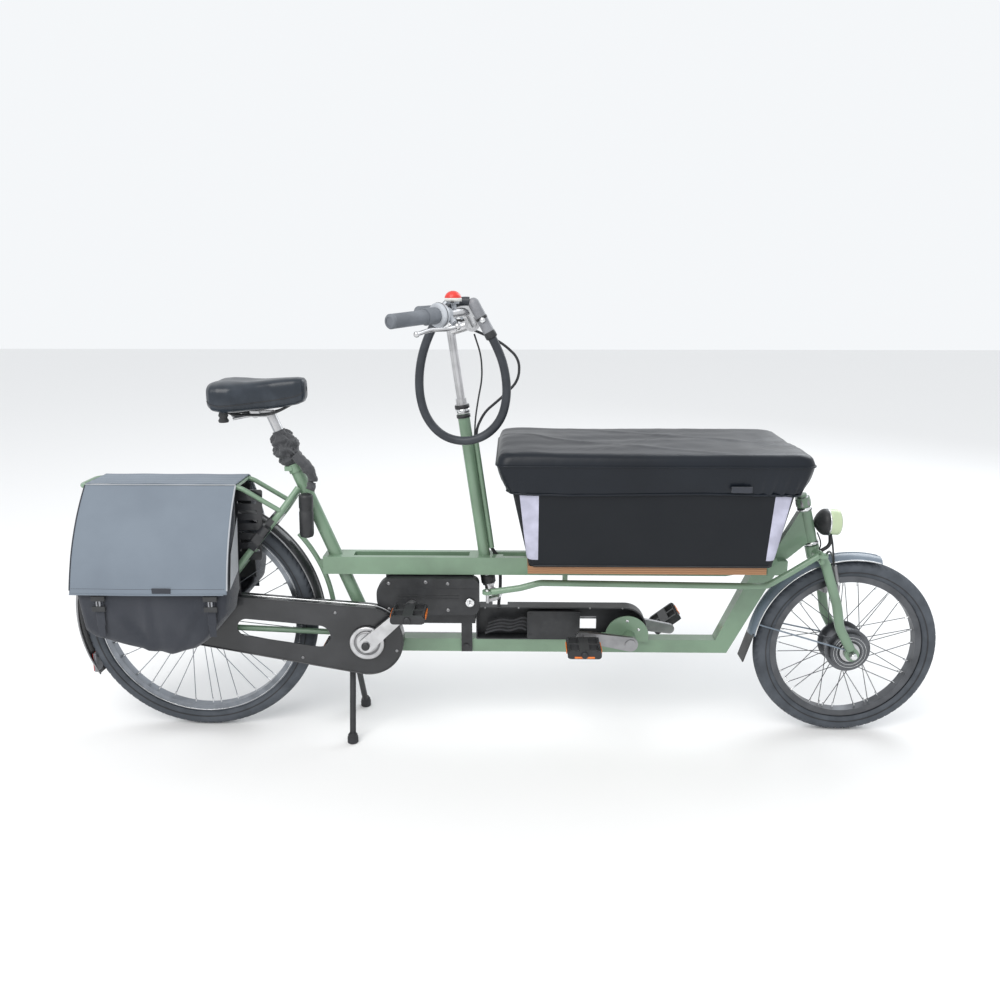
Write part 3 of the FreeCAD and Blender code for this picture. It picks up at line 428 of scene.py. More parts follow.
def wheels():
    tyre_mesh("rear tyre", "rear_tyre", 0.0, REAR_R, 23.5, 288.0, 96, "rear_wheel")
    tyre_mesh("front tyre", "front_tyre", WHEELBASE, FRONT_R, 25.0, 210.0, 76, "front_wheel")
    for base, wheel in WHEELS.items():
        ring, half = wheel["band"]
        for side in (-1, 1):
            y = side * half + (0 if side < 0 else BAND_THICK)
            band("%s side band %d" % (base, side), wheel["x"], wheel["radius"], ring, y, BAND_WIDTH,
                 wheel["body"], RUBBER, thick=BAND_THICK)
    for side in (-1, 1):
        face = [(0, 3), (26, 3), (28, 2), (28.5, 0)]
        hub = at(WHEELBASE, side * 47.0, FRONT_R)
        out = (0, side, 0)
        lathe("hub face %d" % side, face, hub, out, "front_wheel", SILVER)
        ring = [(28.5, 0), (30, 2.5), (38, 2.8), (40, 1), (41.5, 2.5), (43.5, 2.2), (45, 0), (47, 1.5),
                (50, 1), (51, -4)]
        lathe("hub cover %d" % side, ring, hub, out, "front_wheel", HUB_DARK)
        for radius in (36.0, 44.4):
            circle = [around(WHEELBASE, FRONT_R, radius, 6.0 * k, side * 49.4) for k in range(61)]
            strand("hub bright ring %d %d" % (radius, side), circle, 0.0007, "front_wheel", CHROME)
        for base, wheel in WHEELS.items():
            circle = [around(wheel["x"], wheel["radius"], wheel["edge"], 5.0 * k, side * 13.6)
                      for k in range(73)]
            strand("%s rim bright edge %d" % (base, side), circle, 0.0011, wheel["body"], CHROME)
        cap = [(0, 7), (8, 7), (10, 4), (10, 0)]
        end = at(WHEELBASE, side * 78.0, FRONT_R)
        lathe("front nut cap %d" % side, cap, end, out, "fork", CHROME, 6)
    for base, wheel in WHEELS.items():
        x, z, rim, body = wheel["x"], wheel["radius"], wheel["nipples"], wheel["body"]
        points, faces = [], []
        for k in range(SPOKES):
            turn = 10.0 * k + wheel["spread"] * (1 if (k // 2) % 2 else -1)
            side = 4.0 if k % 2 else -4.0
            start = len(points)
            for reach, width in ((rim + 1, 3.0), (rim - 13, 1.8)):
                centre = around(x, z, reach, turn, side * (1 if reach > rim else 1.35))
                for m in range(6):
                    spin = pi * m / 3
                    points.append(centre + Vector((sin(radians(turn)) * cos(spin),
                                                   sin(spin),
                                                   -cos(radians(turn)) * cos(spin))) * width * MM)
            for m in range(6):
                faces.append((start + m, start + (m + 1) % 6, start + 6 + (m + 1) % 6, start + 6 + m))
        mesh_object(base + " nipples", points, faces, body, CHROME)


# ---- panniers ----
FLAP_X0, FLAP_X1 = -256.0, 144.0
FLAP_CURVE = ((64.2, 721.2), (151.5, 606.0), (204.0, 467.0))
BAG_CURVE = ((76.0, 702.0), (139.0, 598.0), (190.0, 468.0))
CLOTH_THICK = 0.0016


def arc_through(a, b, c, share):
    """A point on the circle through three (y, z) points."""
    ax, ay = a
    bx, by = b
    cx, cy = c
    d = 2 * (ax * (by - cy) + bx * (cy - ay) + cx * (ay - by))
    ux = ((ax**2 + ay**2) * (by - cy) + (bx**2 + by**2) * (cy - ay) + (cx**2 + cy**2) * (ay - by)) / d
    uy = ((ax**2 + ay**2) * (cx - bx) + (bx**2 + by**2) * (ax - cx) + (cx**2 + cy**2) * (bx - ax)) / d
    r = hypot(ax - ux, ay - uy)
    first = atan2(ay - uy, ax - ux)
    last = atan2(cy - uy, cx - ux)
    turn = first + (last - first) * share
    return ux + r * cos(turn), uy + r * sin(turn)


def flap(side):
    """The grey flap: gently waved cloth with piped edges, stitches and a blank label."""
    body = "flap_right" if side < 0 else "flap_left"
    rows, columns = 60, 90
    flat = []
    for i in range(rows):
        share = i / (rows - 1)
        y, z = arc_through(*FLAP_CURVE, share)
        for j in range(columns):
            across = j / (columns - 1)
            x = FLAP_X0 + (FLAP_X1 - FLAP_X0) * across
            edge = 5.0 * share * (across - 0.5)
            flat.append((x + edge, y, z, share, across))
    flat = np.array(flat)
    scaled = np.stack([flat[:, 0] / 160.0, flat[:, 2] / 420.0, np.zeros(len(flat))], 1)
    wave = smooth_noise(scaled, 2.4, 11 + side) * 2.2 * flat[:, 3]
    fine = smooth_noise(scaled, 9.0, 31 + side) * 0.5
    sag = -2.5 * np.sin(np.pi * flat[:, 4]) * flat[:, 3] ** 2
    points = []
    for (x, y, z, share, across), w, f, s in zip(flat, wave, fine, sag):
        points.append(at(x, side * (y + max(-0.5, w + f + 1.0)), z + s * 0.6))
    piece = mesh_object("flap %d" % side, points, grid_faces(rows, columns), body, GREY_CLOTH)
    thicken(piece, CLOTH_THICK, 0.0)
    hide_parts(body)
    edge_points = {name: [] for name in ("front", "rear", "low")}
    for i in range(rows):
        edge_points["rear"].append(points[i * columns])
        edge_points["front"].append(points[i * columns + columns - 1])
    edge_points["low"] = points[(rows - 1) * columns:]
    for name, look in (("front", PIPING), ("rear", DARK_CLOTH), ("low", GREY_CLOTH)):
        strand("flap %s edge %d" % (name, side), edge_points[name][::3], 0.0021, body, look)
    stitch, faces = [], []
    low = (rows - 4) * columns
    for j in range(1, columns - 2):
        a, b = points[low + j], points[low + j + 1]
        out = Vector((0, side * 0.0012, 0))
        start = len(stitch)
        mid = a.lerp(b, 0.62)
        up = Vector((0, 0, 0.0005))
        stitch += [a + out - up, mid + out - up, mid + out + up, a + out + up]
        faces.append((start, start + 1, start + 2, start + 3))
    mesh_object("flap stitches %d" % side, stitch, faces, body, DARK_CLOTH, smooth=False)
    centre = points[(rows - 3) * columns + int(columns * 0.58)]
    cuboid("flap label %d" % side, centre + Vector((-0.024, min(0, side * 0.0025), -0.006)),
                   centre + Vector((0.024, max(0, side * 0.0025), 0.008)), body, DARK_CLOTH, 0.0006)


BAG_OUTLINE = [(-254, 700), (-256, 640), (-257, 560), (-256, 470), (-252, 400), (-246, 352),
               (-222, 334), (-150, 313), (-80, 294), (-20, 284), (40, 300), (72, 324), (108, 365),
               (138, 400), (145, 440), (145, 520), (144, 620), (143, 700)]


def bag(side):
    """The black bag: a pinched, creased cloth body with an open top behind a stiff back board."""
    body = "frame"
    rings = 26
    outline = []
    for (x0, z0), (x1, z1) in zip(BAG_OUTLINE, BAG_OUTLINE[1:]):
        for k in range(4):
            outline.append((x0 + (x1 - x0) * k / 4, z0 + (z1 - z0) * k / 4))
    outline.append(BAG_OUTLINE[-1])
    centre = (-56.0, 520.0)
    points = []
    for i in range(rings):
        share = i / (rings - 1)
        for x, z in outline:
            y_out = bag_reach(z)
            inner = 73.0
            if side < 0 and z < 436 and x > -80:
                inner = 83.5
            swell = sin(pi * share) ** 0.6
            pull = 1.0 - 0.05 * (1 - swell)
            px = centre[0] + (x - centre[0]) * pull
            pz = centre[1] + (z - centre[1]) * (pull if z < 660 else 1.0)
            points.append([px, inner + (y_out - inner) * share, pz])
    columns = len(outline)
    grid = [list(p) for p in points]
    last = points[-columns:]
    face_rings = 22
    for k in range(1, face_rings + 1):
        share = k / face_rings
        for x, y, z in last:
            fx = centre[0] + (x - centre[0]) * (1 - share)
            fz = z if z > 690 else z + (centre[1] + 60 - z) * share * 0.999
            grid.append([fx, min(bag_reach(fz), 210), fz])
    array = np.array(grid)
    spots = array / 100.0
    crease = smooth_noise(spots, 2.2, 5 + side) * 3.6 + smooth_noise(spots, 6.0, 8 + side) * 1.5
    crease += 2.6 * np.abs(np.sin(array[:, 0] / 31.0 + array[:, 2] / 57.0)) - 1.6
    for foot, lean, width in ((-75.0, 0.06, 9.0), (-150.0, 0.75, 8.0), (45.0, -0.55, 9.0)):
        run = array[:, 0] - foot + (array[:, 2] - 400.0) * lean
        crease += 5.5 * np.exp(-(run / width) ** 2) - 2.5 * np.exp(-((run - 16.0) / 12.0) ** 2)
    shown = np.clip((470.0 - array[:, 2]) / 120.0 + 0.25, 0.1, 1.0)
    array[:, 1] += np.where(array[:, 1] > 100, crease * shown, 0.0)
    under_flap = [bag_reach(z) + 1.5 for z in array[:, 2]]
    array[:, 1] = np.minimum(array[:, 1], np.where(array[:, 2] > 462, under_flap, 205))
    final = [at(x, side * y, z) for x, y, z in array]
    faces = grid_faces(rings + face_rings, columns)
    piece = mesh_object("bag %d" % side, final, faces, body, DARK_CLOTH)
    thicken(piece, 0.002, 0.0)
    node = "pannier_right" if side < 0 else "pannier_left"
    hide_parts(node)
    side_box("back board %d" % side, side, (-250, 140), (72, 75), (420, 698), body, BLACK_PLASTIC)


def bag_reach(z):
    """How far out the bag's outer face is at a height, on one side."""
    if z >= 468:
        low, high = 0.0, 1.0
        for _ in range(22):
            middle = (low + high) / 2
            y, height = arc_through(*BAG_CURVE, middle)
            if height > z:
                low = middle
            else:
                high = middle
        return y
    return 190.0 - (468 - z) * 0.07


def buckle(x, side, z=444.0):
    """A strap with a two-part buckle, hanging from under the flap's edge."""
    def part(name, half, thick, z0, z1, look, lift=0.0):
        y = 193.0 + lift
        side_box("%s %d %d" % (name, x, side), side, (x - half, x + half), (y, y + thick), (z0, z1),
                 "frame", look, 0.0012)

    part("strap", 11, 2.5, z - 66, z + 22, DARK_CLOTH)
    part("buckle top", 18, 6, z + 2, z + 16, BLACK_PLASTIC, 2.0)
    part("buckle side a", 3, 6, z - 14, z + 2, BLACK_PLASTIC, 2.0)
    part("buckle low", 17, 7, z - 26, z - 12, BLACK_PLASTIC, 2.0)
    part("buckle prong", 6, 5, z - 12, z + 2, LOCK_GREY, 3.0)
    part("strap tail", 9, 2, z - 96, z - 60, DARK_CLOTH, 1.0)


def strip_over_rack():
    """The cloth between the two bags, lying on the rack with the flaps sewn to it."""
    rows, columns = 26, 60
    points = []
    for i in range(rows):
        y = -60.5 + 121 * i / (rows - 1)
        for j in range(columns):
            x = FLAP_X0 + (FLAP_X1 - FLAP_X0) * j / (columns - 1)
            dip = -0.9 * sin(y / 9.0) ** 2 + 0.5 * sin(x / 23.0 + y / 40.0)
            points.append(at(x, y, 724.6 + dip))
    piece = mesh_object("rack strip", points, grid_faces(rows, columns), "frame", GREY_CLOTH)
    thicken(piece, CLOTH_THICK, 0.0)
    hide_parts("pannier_strip")
    for side, body in ((-1, "flap_right"), (1, "flap_left")):
        fold = [at(x, side * 63.2, 722.9) for x in range(-256, 146, 40)]
        strand("fold piping %d" % side, fold, 0.0014, body, PIPING)


def panniers():
    for side in (-1, 1):
        flap(side)
        bag(side)
        for x in (-190, 100):
            buckle(x, side)
    strip_over_rack()
    white = [at(146.5, -78, 640), at(146.5, -150, 560), at(146.5, -176, 470), at(146.5, -100, 500)]
    mesh_object("gusset patch", white, [(0, 1, 2, 3)], "frame", PIPING, smooth=False)


# ---- cargo cover ----
def rounded_ring(x0, x1, half, corner, steps):
    """Points round a level rectangle with rounded corners, evenly enough for cloth."""
    centres = [(x1 - corner, -half + corner, -90), (x1 - corner, half - corner, 0),
               (x0 + corner, half - corner, 90), (x0 + corner, -half + corner, 180)]
    ring = []
    for (cx, cy, start), (nx, ny, _) in zip(centres, centres[1:] + centres[:1]):
        for k in range(7):
            turn = radians(start + 90 * k / 6)
            ring.append((cx + corner * cos(turn), cy + corner * sin(turn)))
        turn = radians(start + 90)
        a = (cx + corner * cos(turn), cy + corner * sin(turn))
        b = (nx + corner * cos(turn), ny + corner * sin(turn))
        for k in range(1, steps):
            ring.append((a[0] + (b[0] - a[0]) * k / steps, a[1] + (b[1] - a[1]) * k / steps))
    return ring


COVER_STEPS = 110


def cover():
    """The fitted cover: a slack top, a rolled welt and a skirt gathered by its elastic hem."""
    levels = [(733, 864, 1592, 193), (738, 862, 1594, 194), (750, 856, 1600, 197),
              (765, 849, 1606, 201), (780, 843, 1611, 205), (794, 839, 1614.5, 207.5),
              (800, 837.5, 1615.5, 208.5), (803, 836, 1617, 210), (807, 835.5, 1617.5, 210.5),
              (811, 836.5, 1616.5, 209.5), (816, 838, 1615, 208), (824, 841, 1612, 205),
              (830, 845, 1608, 201), (834, 851, 1602, 195), (836, 860, 1593, 186)]
    count = len(rounded_ring(0, 100, 50, 10, COVER_STEPS))
    points = []
    for z, x0, x1, half in levels:
        corner = 27.0
        for x, y in rounded_ring(x0, x1, half, corner, COVER_STEPS):
            points.append((x, y, z, 1.0))
    z, x0, x1, half = levels[-1]
    steps = 20
    for k in range(1, steps + 1):
        share = k / steps
        left = x0 + (1225 - x0) * share
        right = x1 - (x1 - 1231) * share
        wide = max(4.0, half * (1 - share))
        corner = max(1.0, 27 * (1 - share))
        for x, y in rounded_ring(left, right, wide, corner, COVER_STEPS):
            points.append((x, y, z, 1.0 - share))
    array = np.array(points)
    spots = array[:, :3] / 100.0
    top = array[:, 2] > 829
    skirt = array[:, 2] < 802
    slack = smooth_noise(spots * np.array([0.5, 0.9, 0]), 2.0, 3) * 3.4 + smooth_noise(spots, 4.5,
                                                                                       4) * 1.2
    middle = np.clip(1 - np.abs(array[:, 1]) / 205.0, 0, 1) ** 0.5
    puff = 9.0 * np.exp(-((array[:, 0] - 905) / 75.0) ** 2)
    ridge = 2.4 * np.exp(-(((array[:, 1] + 0.45 * (array[:, 0] - 1230)) % 210 - 105) / 12.0) ** 2)
    array[:, 2] += np.where(top, (slack + puff + ridge) * middle - 1.5, 0.0)
    low = np.clip((806 - array[:, 2]) / 70.0, 0, 1)
    run = array[:, 0] + array[:, 1]
    lie = np.stack([run / 26.0, array[:, 2] / 300.0, array[:, 1] / 260.0], 1)
    fold = smooth_noise(lie, 1.6, 9) * 2.3
    near_corner = np.exp(-((array[:, 0] - 1560) / 90.0) ** 2)
    near_corner += 0.7 * np.exp(-((array[:, 0] - 862) / 50.0) ** 2)
    gather = np.sin(run / 4.6 + array[:, 2] / 31.0) * 4.5 * near_corner
    push = np.where(skirt, (fold + gather) * low + 1.0, 0.0)
    cx = np.clip(array[:, 0], 870, 1580)
    cy = np.clip(array[:, 1], -175, 175)
    dx, dy = array[:, 0] - cx, array[:, 1] - cy
    size = np.maximum(1e-6, np.hypot(dx, dy))
    array[:, 0] += dx / size * push
    array[:, 1] += dy / size * push
    sag = np.where(array[:, 2] < 740, 2.0 * np.sin(array[:, 0] / 95.0), 0.0)
    array[:, 2] += sag
    final = [at(x, y, z) for x, y, z in array[:, :3]]
    faces = grid_faces(len(levels) + steps, count, wrap_columns=True)
    piece = mesh_object("cover", final, faces, "frame", COVER_CLOTH)
    thicken(piece, 0.002, -1.0)
    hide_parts("cargo_cover")
    hem = [final[k] for k in range(0, count, 3)]
    strand("cover hem", hem + [hem[0]], 0.003, "frame", COVER_CLOTH)
    welt = [at(x, y, 806) for x, y in rounded_ring(834.5, 1618.5, 211.5, 28.0, COVER_STEPS)]
    strand("cover welt", welt + [welt[0]], 0.0022, "frame", COVER_CLOTH)
    cuboid("cover label", at(1412, -210.5, 742), at(1462, -206, 757), "frame", DARK_CLOTH, 0.0006)


# ---- saddle ----
def saddle():
    """A sprung town saddle: wide padded rear, narrow nose and a seam along each side."""
    stations = [(86, 6, 958, 954, 964), (87, 34, 958, 944, 976), (89, 60, 958, 936, 984),
                (92, 84, 972, 924, 990), (104, 98, 984, 916, 994), (126, 102, 990, 912, 996),
                (154, 97, 992, 913, 995), (184, 80, 992, 915, 994), (214, 61, 993, 917, 995),
                (246, 47, 995, 920, 997), (278, 39, 997, 924, 999), (306, 33, 998, 929, 1000),
                (323, 26, 996, 936, 998), (329, 17, 986, 946, 992), (331, 4, 970, 964, 976)]
    xs = np.array([s[0] for s in stations], float)
    steps = 72
    ring = 48
    points = []
    for i in range(steps):
        share = i / (steps - 1)
        x = 86 + (331 - 86) * (0.5 - 0.5 * cos(pi * share))
        half, _, low, high = (float(np.interp(x, xs, [s[k] for s in stations])) for k in (1, 2, 3, 4))
        for j in range(ring):
            turn = 2 * pi * j / ring
            c, s = cos(turn), sin(turn)
            y = half * copysign(abs(c) ** 0.62, c)
            mid = low + (high - low) * 0.52
            z = mid + (high - mid) * abs(s) ** 0.55 if s >= 0 else mid - (mid - low) * abs(s) ** 0.42
            dish = 5.0 * exp(-((x - 150) / 70.0) ** 2) * exp(-(y / 26.0) ** 2)
            z -= dish if s > 0 else 0
            points.append((x, y, z))
    array = np.array(points)
    array[:, 2] += smooth_noise(array / 60.0, 1.3, 21) * 0.7
    rows = [at(*p) for p in array]
    faces = grid_faces(steps, ring, wrap_columns=True)
    faces.append(tuple(range(ring)))
    faces.append(tuple(reversed(range((steps - 1) * ring, steps * ring))))
    piece = mesh_object("saddle pad", rows, faces, "seat", LEATHER)
    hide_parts("saddle")
    for side in (-1, 1):
        seam = []
        for i in range(8, steps - 7, 2):
            half = float(np.interp(array[i * ring, 0], xs, [s[1] for s in stations]))
            low = float(np.interp(array[i * ring, 0], xs, [s[3] for s in stations]))
            seam.append(at(array[i * ring, 0], side * (half + 0.3), low + 24))
        strand("saddle seam %d" % side, seam, 0.0011, "seat", RUBBER)
    for side in (-1, 1):
        rail = [at(112, side * 34, 920), at(130, side * 24, 903), at(180, side * 22, 903),
                at(236, side * 22, 903), at(285, side * 14, 925), at(312, side * 6, 944)]
        strand("saddle rail %d" % side, rail, 0.0035, "seat", BLACK_PLASTIC)
        bumper = [(0, -4), (12, -4), (14, 0), (10, 8), (13, 14), (10, 22), (12, 30)]
        lathe("saddle bumper %d" % side, bumper, at(122, side * 52, 892), (0, 0, 1), "seat",
              BLACK_PLASTIC, 24)


# ---- locks and cables ----
SEAT_LEAN = 0.404      # how far back the seat tube leans for each millimetre up


def seat_axis(z, y=0.0):
    return at(REAR_CRANK_X - (z - CRANK_Z) * SEAT_LEAN, y, z)


def lock_bunch():
    """The chain lock's cloth sleeve, bunched in slanting folds round the seat tube."""
    axis = (seat_axis(900) - seat_axis(800)).normalized()
    side_a = Vector((0, 1, 0))
    side_b = axis.cross(side_a)
    rings, steps = 90, 110
    grid = np.array([(i / (rings - 1), 2 * pi * j / steps) for i in range(rings) for j in range(steps)])
    share, turn = grid[:, 0], grid[:, 1]
    spots = np.stack([np.cos(turn) * 1.6, np.sin(turn) * 1.6, share * 3.2], 1)
    drift = smooth_noise(spots, 1.0, 51) * 1.7
    slant = np.sin(turn * 2.0 + share * 17.0 + drift * 2.2)
    reach = 32.0 + 4.2 * slant + 2.4 * np.abs(np.sin(turn * 3.0 - share * 21.0 + drift * 3.0))
    reach += smooth_noise(spots * 3.0, 1.2, 53) * 2.2 + 4.0 * np.cos(turn - 0.6)
    reach *= np.clip(np.sin(pi * np.clip(share, 0.0, 1.0)), 0, 1) ** 0.28
    reach = np.maximum(reach, 17.5)
    points = []
    for (along, angle), r in zip(grid, reach):
        centre = seat_axis(764 + 94 * along)
        points.append(centre + (side_a * cos(angle) + side_b * sin(angle)) * r * MM)
    faces = grid_faces(rings, steps, wrap_columns=True)
    return mesh_object("lock sleeve bunch", points, faces, "frame", SLEEVE_CLOTH)


def soft_tube(name, path, radius, body, material, seed, ring=26, crease=0.16):
    """A cloth tube with crumples, along a list of points."""
    count = len(path)
    points = []
    for i, spot in enumerate(path):
        ahead = (path[min(count - 1, i + 1)] - path[max(0, i - 1)]).normalized()
        across = ahead.cross(Vector((0.13, 0.31, 0.94))).normalized()
        other = ahead.cross(across)
        for j in range(ring):
            turn = 2 * pi * j / ring
            points.append((spot, across * cos(turn) + other * sin(turn)))
    where = np.array([[*(p + d * radius)] for p, d in points]) * 55.0
    wobble = smooth_noise(where, 1.5, seed) * crease
    wobble += np.abs(smooth_noise(where, 2.6, seed + 1)) * -crease * 0.8
    final = [p + d * radius * (1.0 + w) for (p, d), w in zip(points, wobble)]
    faces = grid_faces(count, ring, wrap_columns=True)
    faces.append(tuple(reversed(range(ring))))
    faces.append(tuple(range((count - 1) * ring, count * ring)))
    piece = mesh_object(name, final, faces, body, material)
    return piece


def refine(points, steps):
    """More points along a smooth line through a few."""
    padded = [points[0] * 2 - points[1]] + list(points) + [points[-1] * 2 - points[-2]]
    fine = []
    for a, b, c, d in zip(padded, padded[1:], padded[2:], padded[3:]):
        for k in range(steps):
            t = k / steps
            fine.append(0.5 * (2 * b + (c - a) * t + (2 * a - 5 * b + 4 * c - d) * t * t
                               + (3 * b - a - 3 * c + d) * t ** 3))
    fine.append(points[-1])
    return fine


def locks():
    wrap = lock_bunch()
    tail = [at(300, -30, 800), at(322, -34, 778), at(336, -36, 752), at(342, -40, 728),
            at(334, -48, 708)]
    soft_tube("lock sleeve tail", refine(tail, 8), 0.0150, "frame", SLEEVE_CLOTH, 57, 30, 0.34)
    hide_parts("chain_lock")
    barrel = [(0, 60), (12, 60), (18, 56), (19, 50), (19, 22), (17.8, 20), (17.8, 12), (19, 10),
              (19, -50), (17, -57), (10, -60), (0, -60)]
    lathe("chain lock barrel", barrel, at(324.5, -52, 637.5), (3, 0, 121), "frame", BLACK_PLASTIC)
    loop = [(821, 1113), (841, 1076), (857, 1022), (861, 962), (846, 903), (804, 860), (748, 846),
            (694, 862), (656, 906), (640, 962), (640, 1022), (652, 1080), (676, 1136), (708, 1180),
            (744, 1199), (767, 1197)]
    lie = (-100, -101, -103, -104, -104, -102, -100, -99, -99, -100, -102, -103, -102, -100, -99, -100)
    route = [at(x, y, z) for (x, z), y in zip(loop, lie)]
    cable = strand("lock cable", route, 0.011, "steering", CABLE)
    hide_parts("lock_loop")
    cap = [(0, 4), (12, 4), (15, 1), (15, -12), (14.6, -14)]
    lathe("lock end cap", cap, at(822, -100, 1111), (0.478, 0, -0.879), "steering", BLACK_PLASTIC)
    lathe("lock band", [(14.3, 0), (15, 0), (15, 6), (14.3, 6)], at(796, -100, 1159),
          (0.478, 0, -0.879), "steering", BLACK_PLASTIC)
    lathe("lock key face", [(0, 0), (7, 0), (7, 1.2), (0, 1.2)], at(800, -114.5, 1152),
          (0, -1, 0), "steering", CHROME)


# ---- trims and small fittings ----
def arc_line(x, z, radius, start, sweep, y, steps=40):
    return [around(x, z, radius, start + sweep * k / steps, y) for k in range(steps + 1)]


def guards():
    for side in (-1, 1):
        strand("rear guard edge %d" % side, arc_line(0, REAR_R, 337.5, 6, 203, side * 30.6), 0.0020,
               "frame", STEEL)
        strand("front guard edge %d" % side, arc_line(WHEELBASE, FRONT_R, 259.6, 75, 96, side * 29.4),
               0.0018,
               "fork", CHROME)
    strand("rear guard ridge", arc_line(0, REAR_R, 351.2, 7, 201, 0), 0.0030, "frame", BLACK_PAINT)
    strand("front guard ridge", arc_line(WHEELBASE, FRONT_R, 272.4, 76, 94, 0), 0.0026, "fork",
           GUARD_BLUE)
    spot = around(0, REAR_R, 344, 204)
    cuboid("tail reflector back", spot + Vector((-0.001, -0.019, -0.028)),
           spot + Vector((0.008, 0.019, 0.028)), "frame",
           LOCK_GREY, 0.002)
    cuboid("tail reflector", spot + Vector((-0.004, -0.017, -0.026)),
           spot + Vector((-0.0005, 0.017, 0.026)), "frame",
           RED_REFLECTOR, 0.001)


def slotted_edge(centre_a, ra, centre_b, rb, y):
    """The upper tangent line and front arc of the chain case, as points."""
    ax, az = centre_a
    bx, bz = centre_b
    along = atan2(bz - az, bx - ax)
    lean = acos((ra - rb) / hypot(bx - ax, bz - az))
    upper = along - lean
    lower = along + lean
    points = [at(bx + rb * cos(upper), y, bz + rb * sin(upper))]
    for k in range(31):
        turn = upper - (2 * pi - 2 * lean) * k / 30
        points.append(at(ax + ra * cos(turn), y, az + ra * sin(turn)))
    points.append(at(bx + rb * cos(lower), y, bz + rb * sin(lower)))
    return points


def chain_case_trim():
    front, rear = (480, 290), (10, 352)
    edge = slotted_edge(front, 97.0, rear, 73.0, -80.4)
    strand("chain case edge", edge, 0.0020, "frame", BLACK_PAINT, 2)
    rim = slotted_edge(front, 98.4, rear, 74.4, -62.0)
    strand("chain case bright strip", rim[:9], 0.0018, "frame", CHROME, 2)
    ring = [(47, 0), (47, 2.5), (44.5, 4), (38, 4.2), (35, 1.5), (30, 1.2), (22, 3), (14, 3.5),
            (0, 3.5)]
    centre = at(REAR_CRANK_X, -89, CRANK_Z)
    lathe("chain ring cover", ring, centre, (0, -1, 0), "rear_crank", SILVER)
    # A darker steel ring laid over the silver cover's groove: painted shade in the recess.
    groove_shade = [(29.5, 2.8), (34.5, 2.6), (34.5, 3.4), (29.5, 3.6)]
    lathe("chain ring groove shade", groove_shade, centre, (0, -1, 0), "rear_crank", STEEL)
    bolt = [(0, 4), (7.5, 4), (10.5, 2.5), (11.2, 0), (11.2, -4)]
    for name, y, out in (("right", -115.2, -1), ("left", 110.4, 1)):
        end = at(REAR_CRANK_X, y, CRANK_Z)
        lathe("crank bolt cap " + name, bolt, end, (0, out, 0), "rear_crank", BLACK_PLASTIC)
    for x, z in ((395, 372), (300, 240), (110, 372), (560, 262)):
        screw(x, -80.3, z, "frame")


def screw(x, y, z, body, radius=4.2, look=None, out=-1):
    """A domed screw head with one slot, facing right by default."""
    head = [(0, 1.6), (radius * 0.55, 1.9), (radius * 0.9, 1.2), (radius, 0), (radius, -1)]
    lathe("screw %d %d" % (x, z), head, at(x, y, z), (0, out, 0), body, look or STEEL, 16)
    # The slot is a thin black box laid on the domed head: painted shade standing in for the slot's
    # recess.
    slot_low = at(x, y, z) + Vector((-radius * 0.55 * MM, out * 0.0019 - 0.0001, -0.0004))
    cuboid("screw slot %d %d" % (x, z), slot_low,
           slot_low + Vector((radius * 1.1 * MM, 0.0003, 0.0008)), body,
           BLACK_PLASTIC, 0.0001)


def cases():
    for x, z in ((539, 448), (538, 374), (700, 448), (640, 452), (700, 372)):
        screw(x, -55.2, z, "frame", 5.0)
    ring = [(12.5, 0), (12.5, 2), (10, 3.5), (7.5, 3.5), (6.5, 1.5), (0, 1.5)]
    lathe("battery lock ring", ring, at(760, -58, 395), (0, -1, 0), "frame", CHROME)
    # The key way is a small black box on the chrome lock ring: painted shade for the keyhole's recess.
    cuboid("battery key way shade", at(759, -60.2, 390.5), at(761, -59.4, 399.5), "frame", BLACK_PLASTIC,
           0.0003)
    for z in (404, 412):
        cuboid("battery rib %d" % z, at(562, -56.4, z), at(730, -55, z + 2.2), "frame", BLACK_PLASTIC,
               0.0005)
    cuboid("battery seam", at(556, -55.6, 433), at(781, -55, 434.6), "frame", RUBBER, 0.0003)
    for x in (800, 893, 1090, 1180):
        screw(x, -22.4, 367, "frame", 2.6)
    for x, z in ((1147, 290), (1193, 335), (1225, 310)):
        screw(x, -34.2, z, "frame", 4.6, CHROME)
    bundle = [at(800, -14, 290), at(835, -17, 306), at(868, -15, 296), at(900, -16, 312),
              at(914, -14, 300)]
    for k in range(4):
        shift = Vector((0.003 * k, 0.002 * k - 0.003, 0.009 * k))
        strand("cable bundle %d" % k, [p + shift for p in bundle], 0.0034, "frame", RUBBER)
    for x in (560, 575):
        strand("motor lead %d" % x, [at(x - 60, -8, 300), at(x - 30, -18, 322), at(x, -20, 340),
                                     at(x + 14, -18, 357)],
               0.0035, "frame", RUBBER)


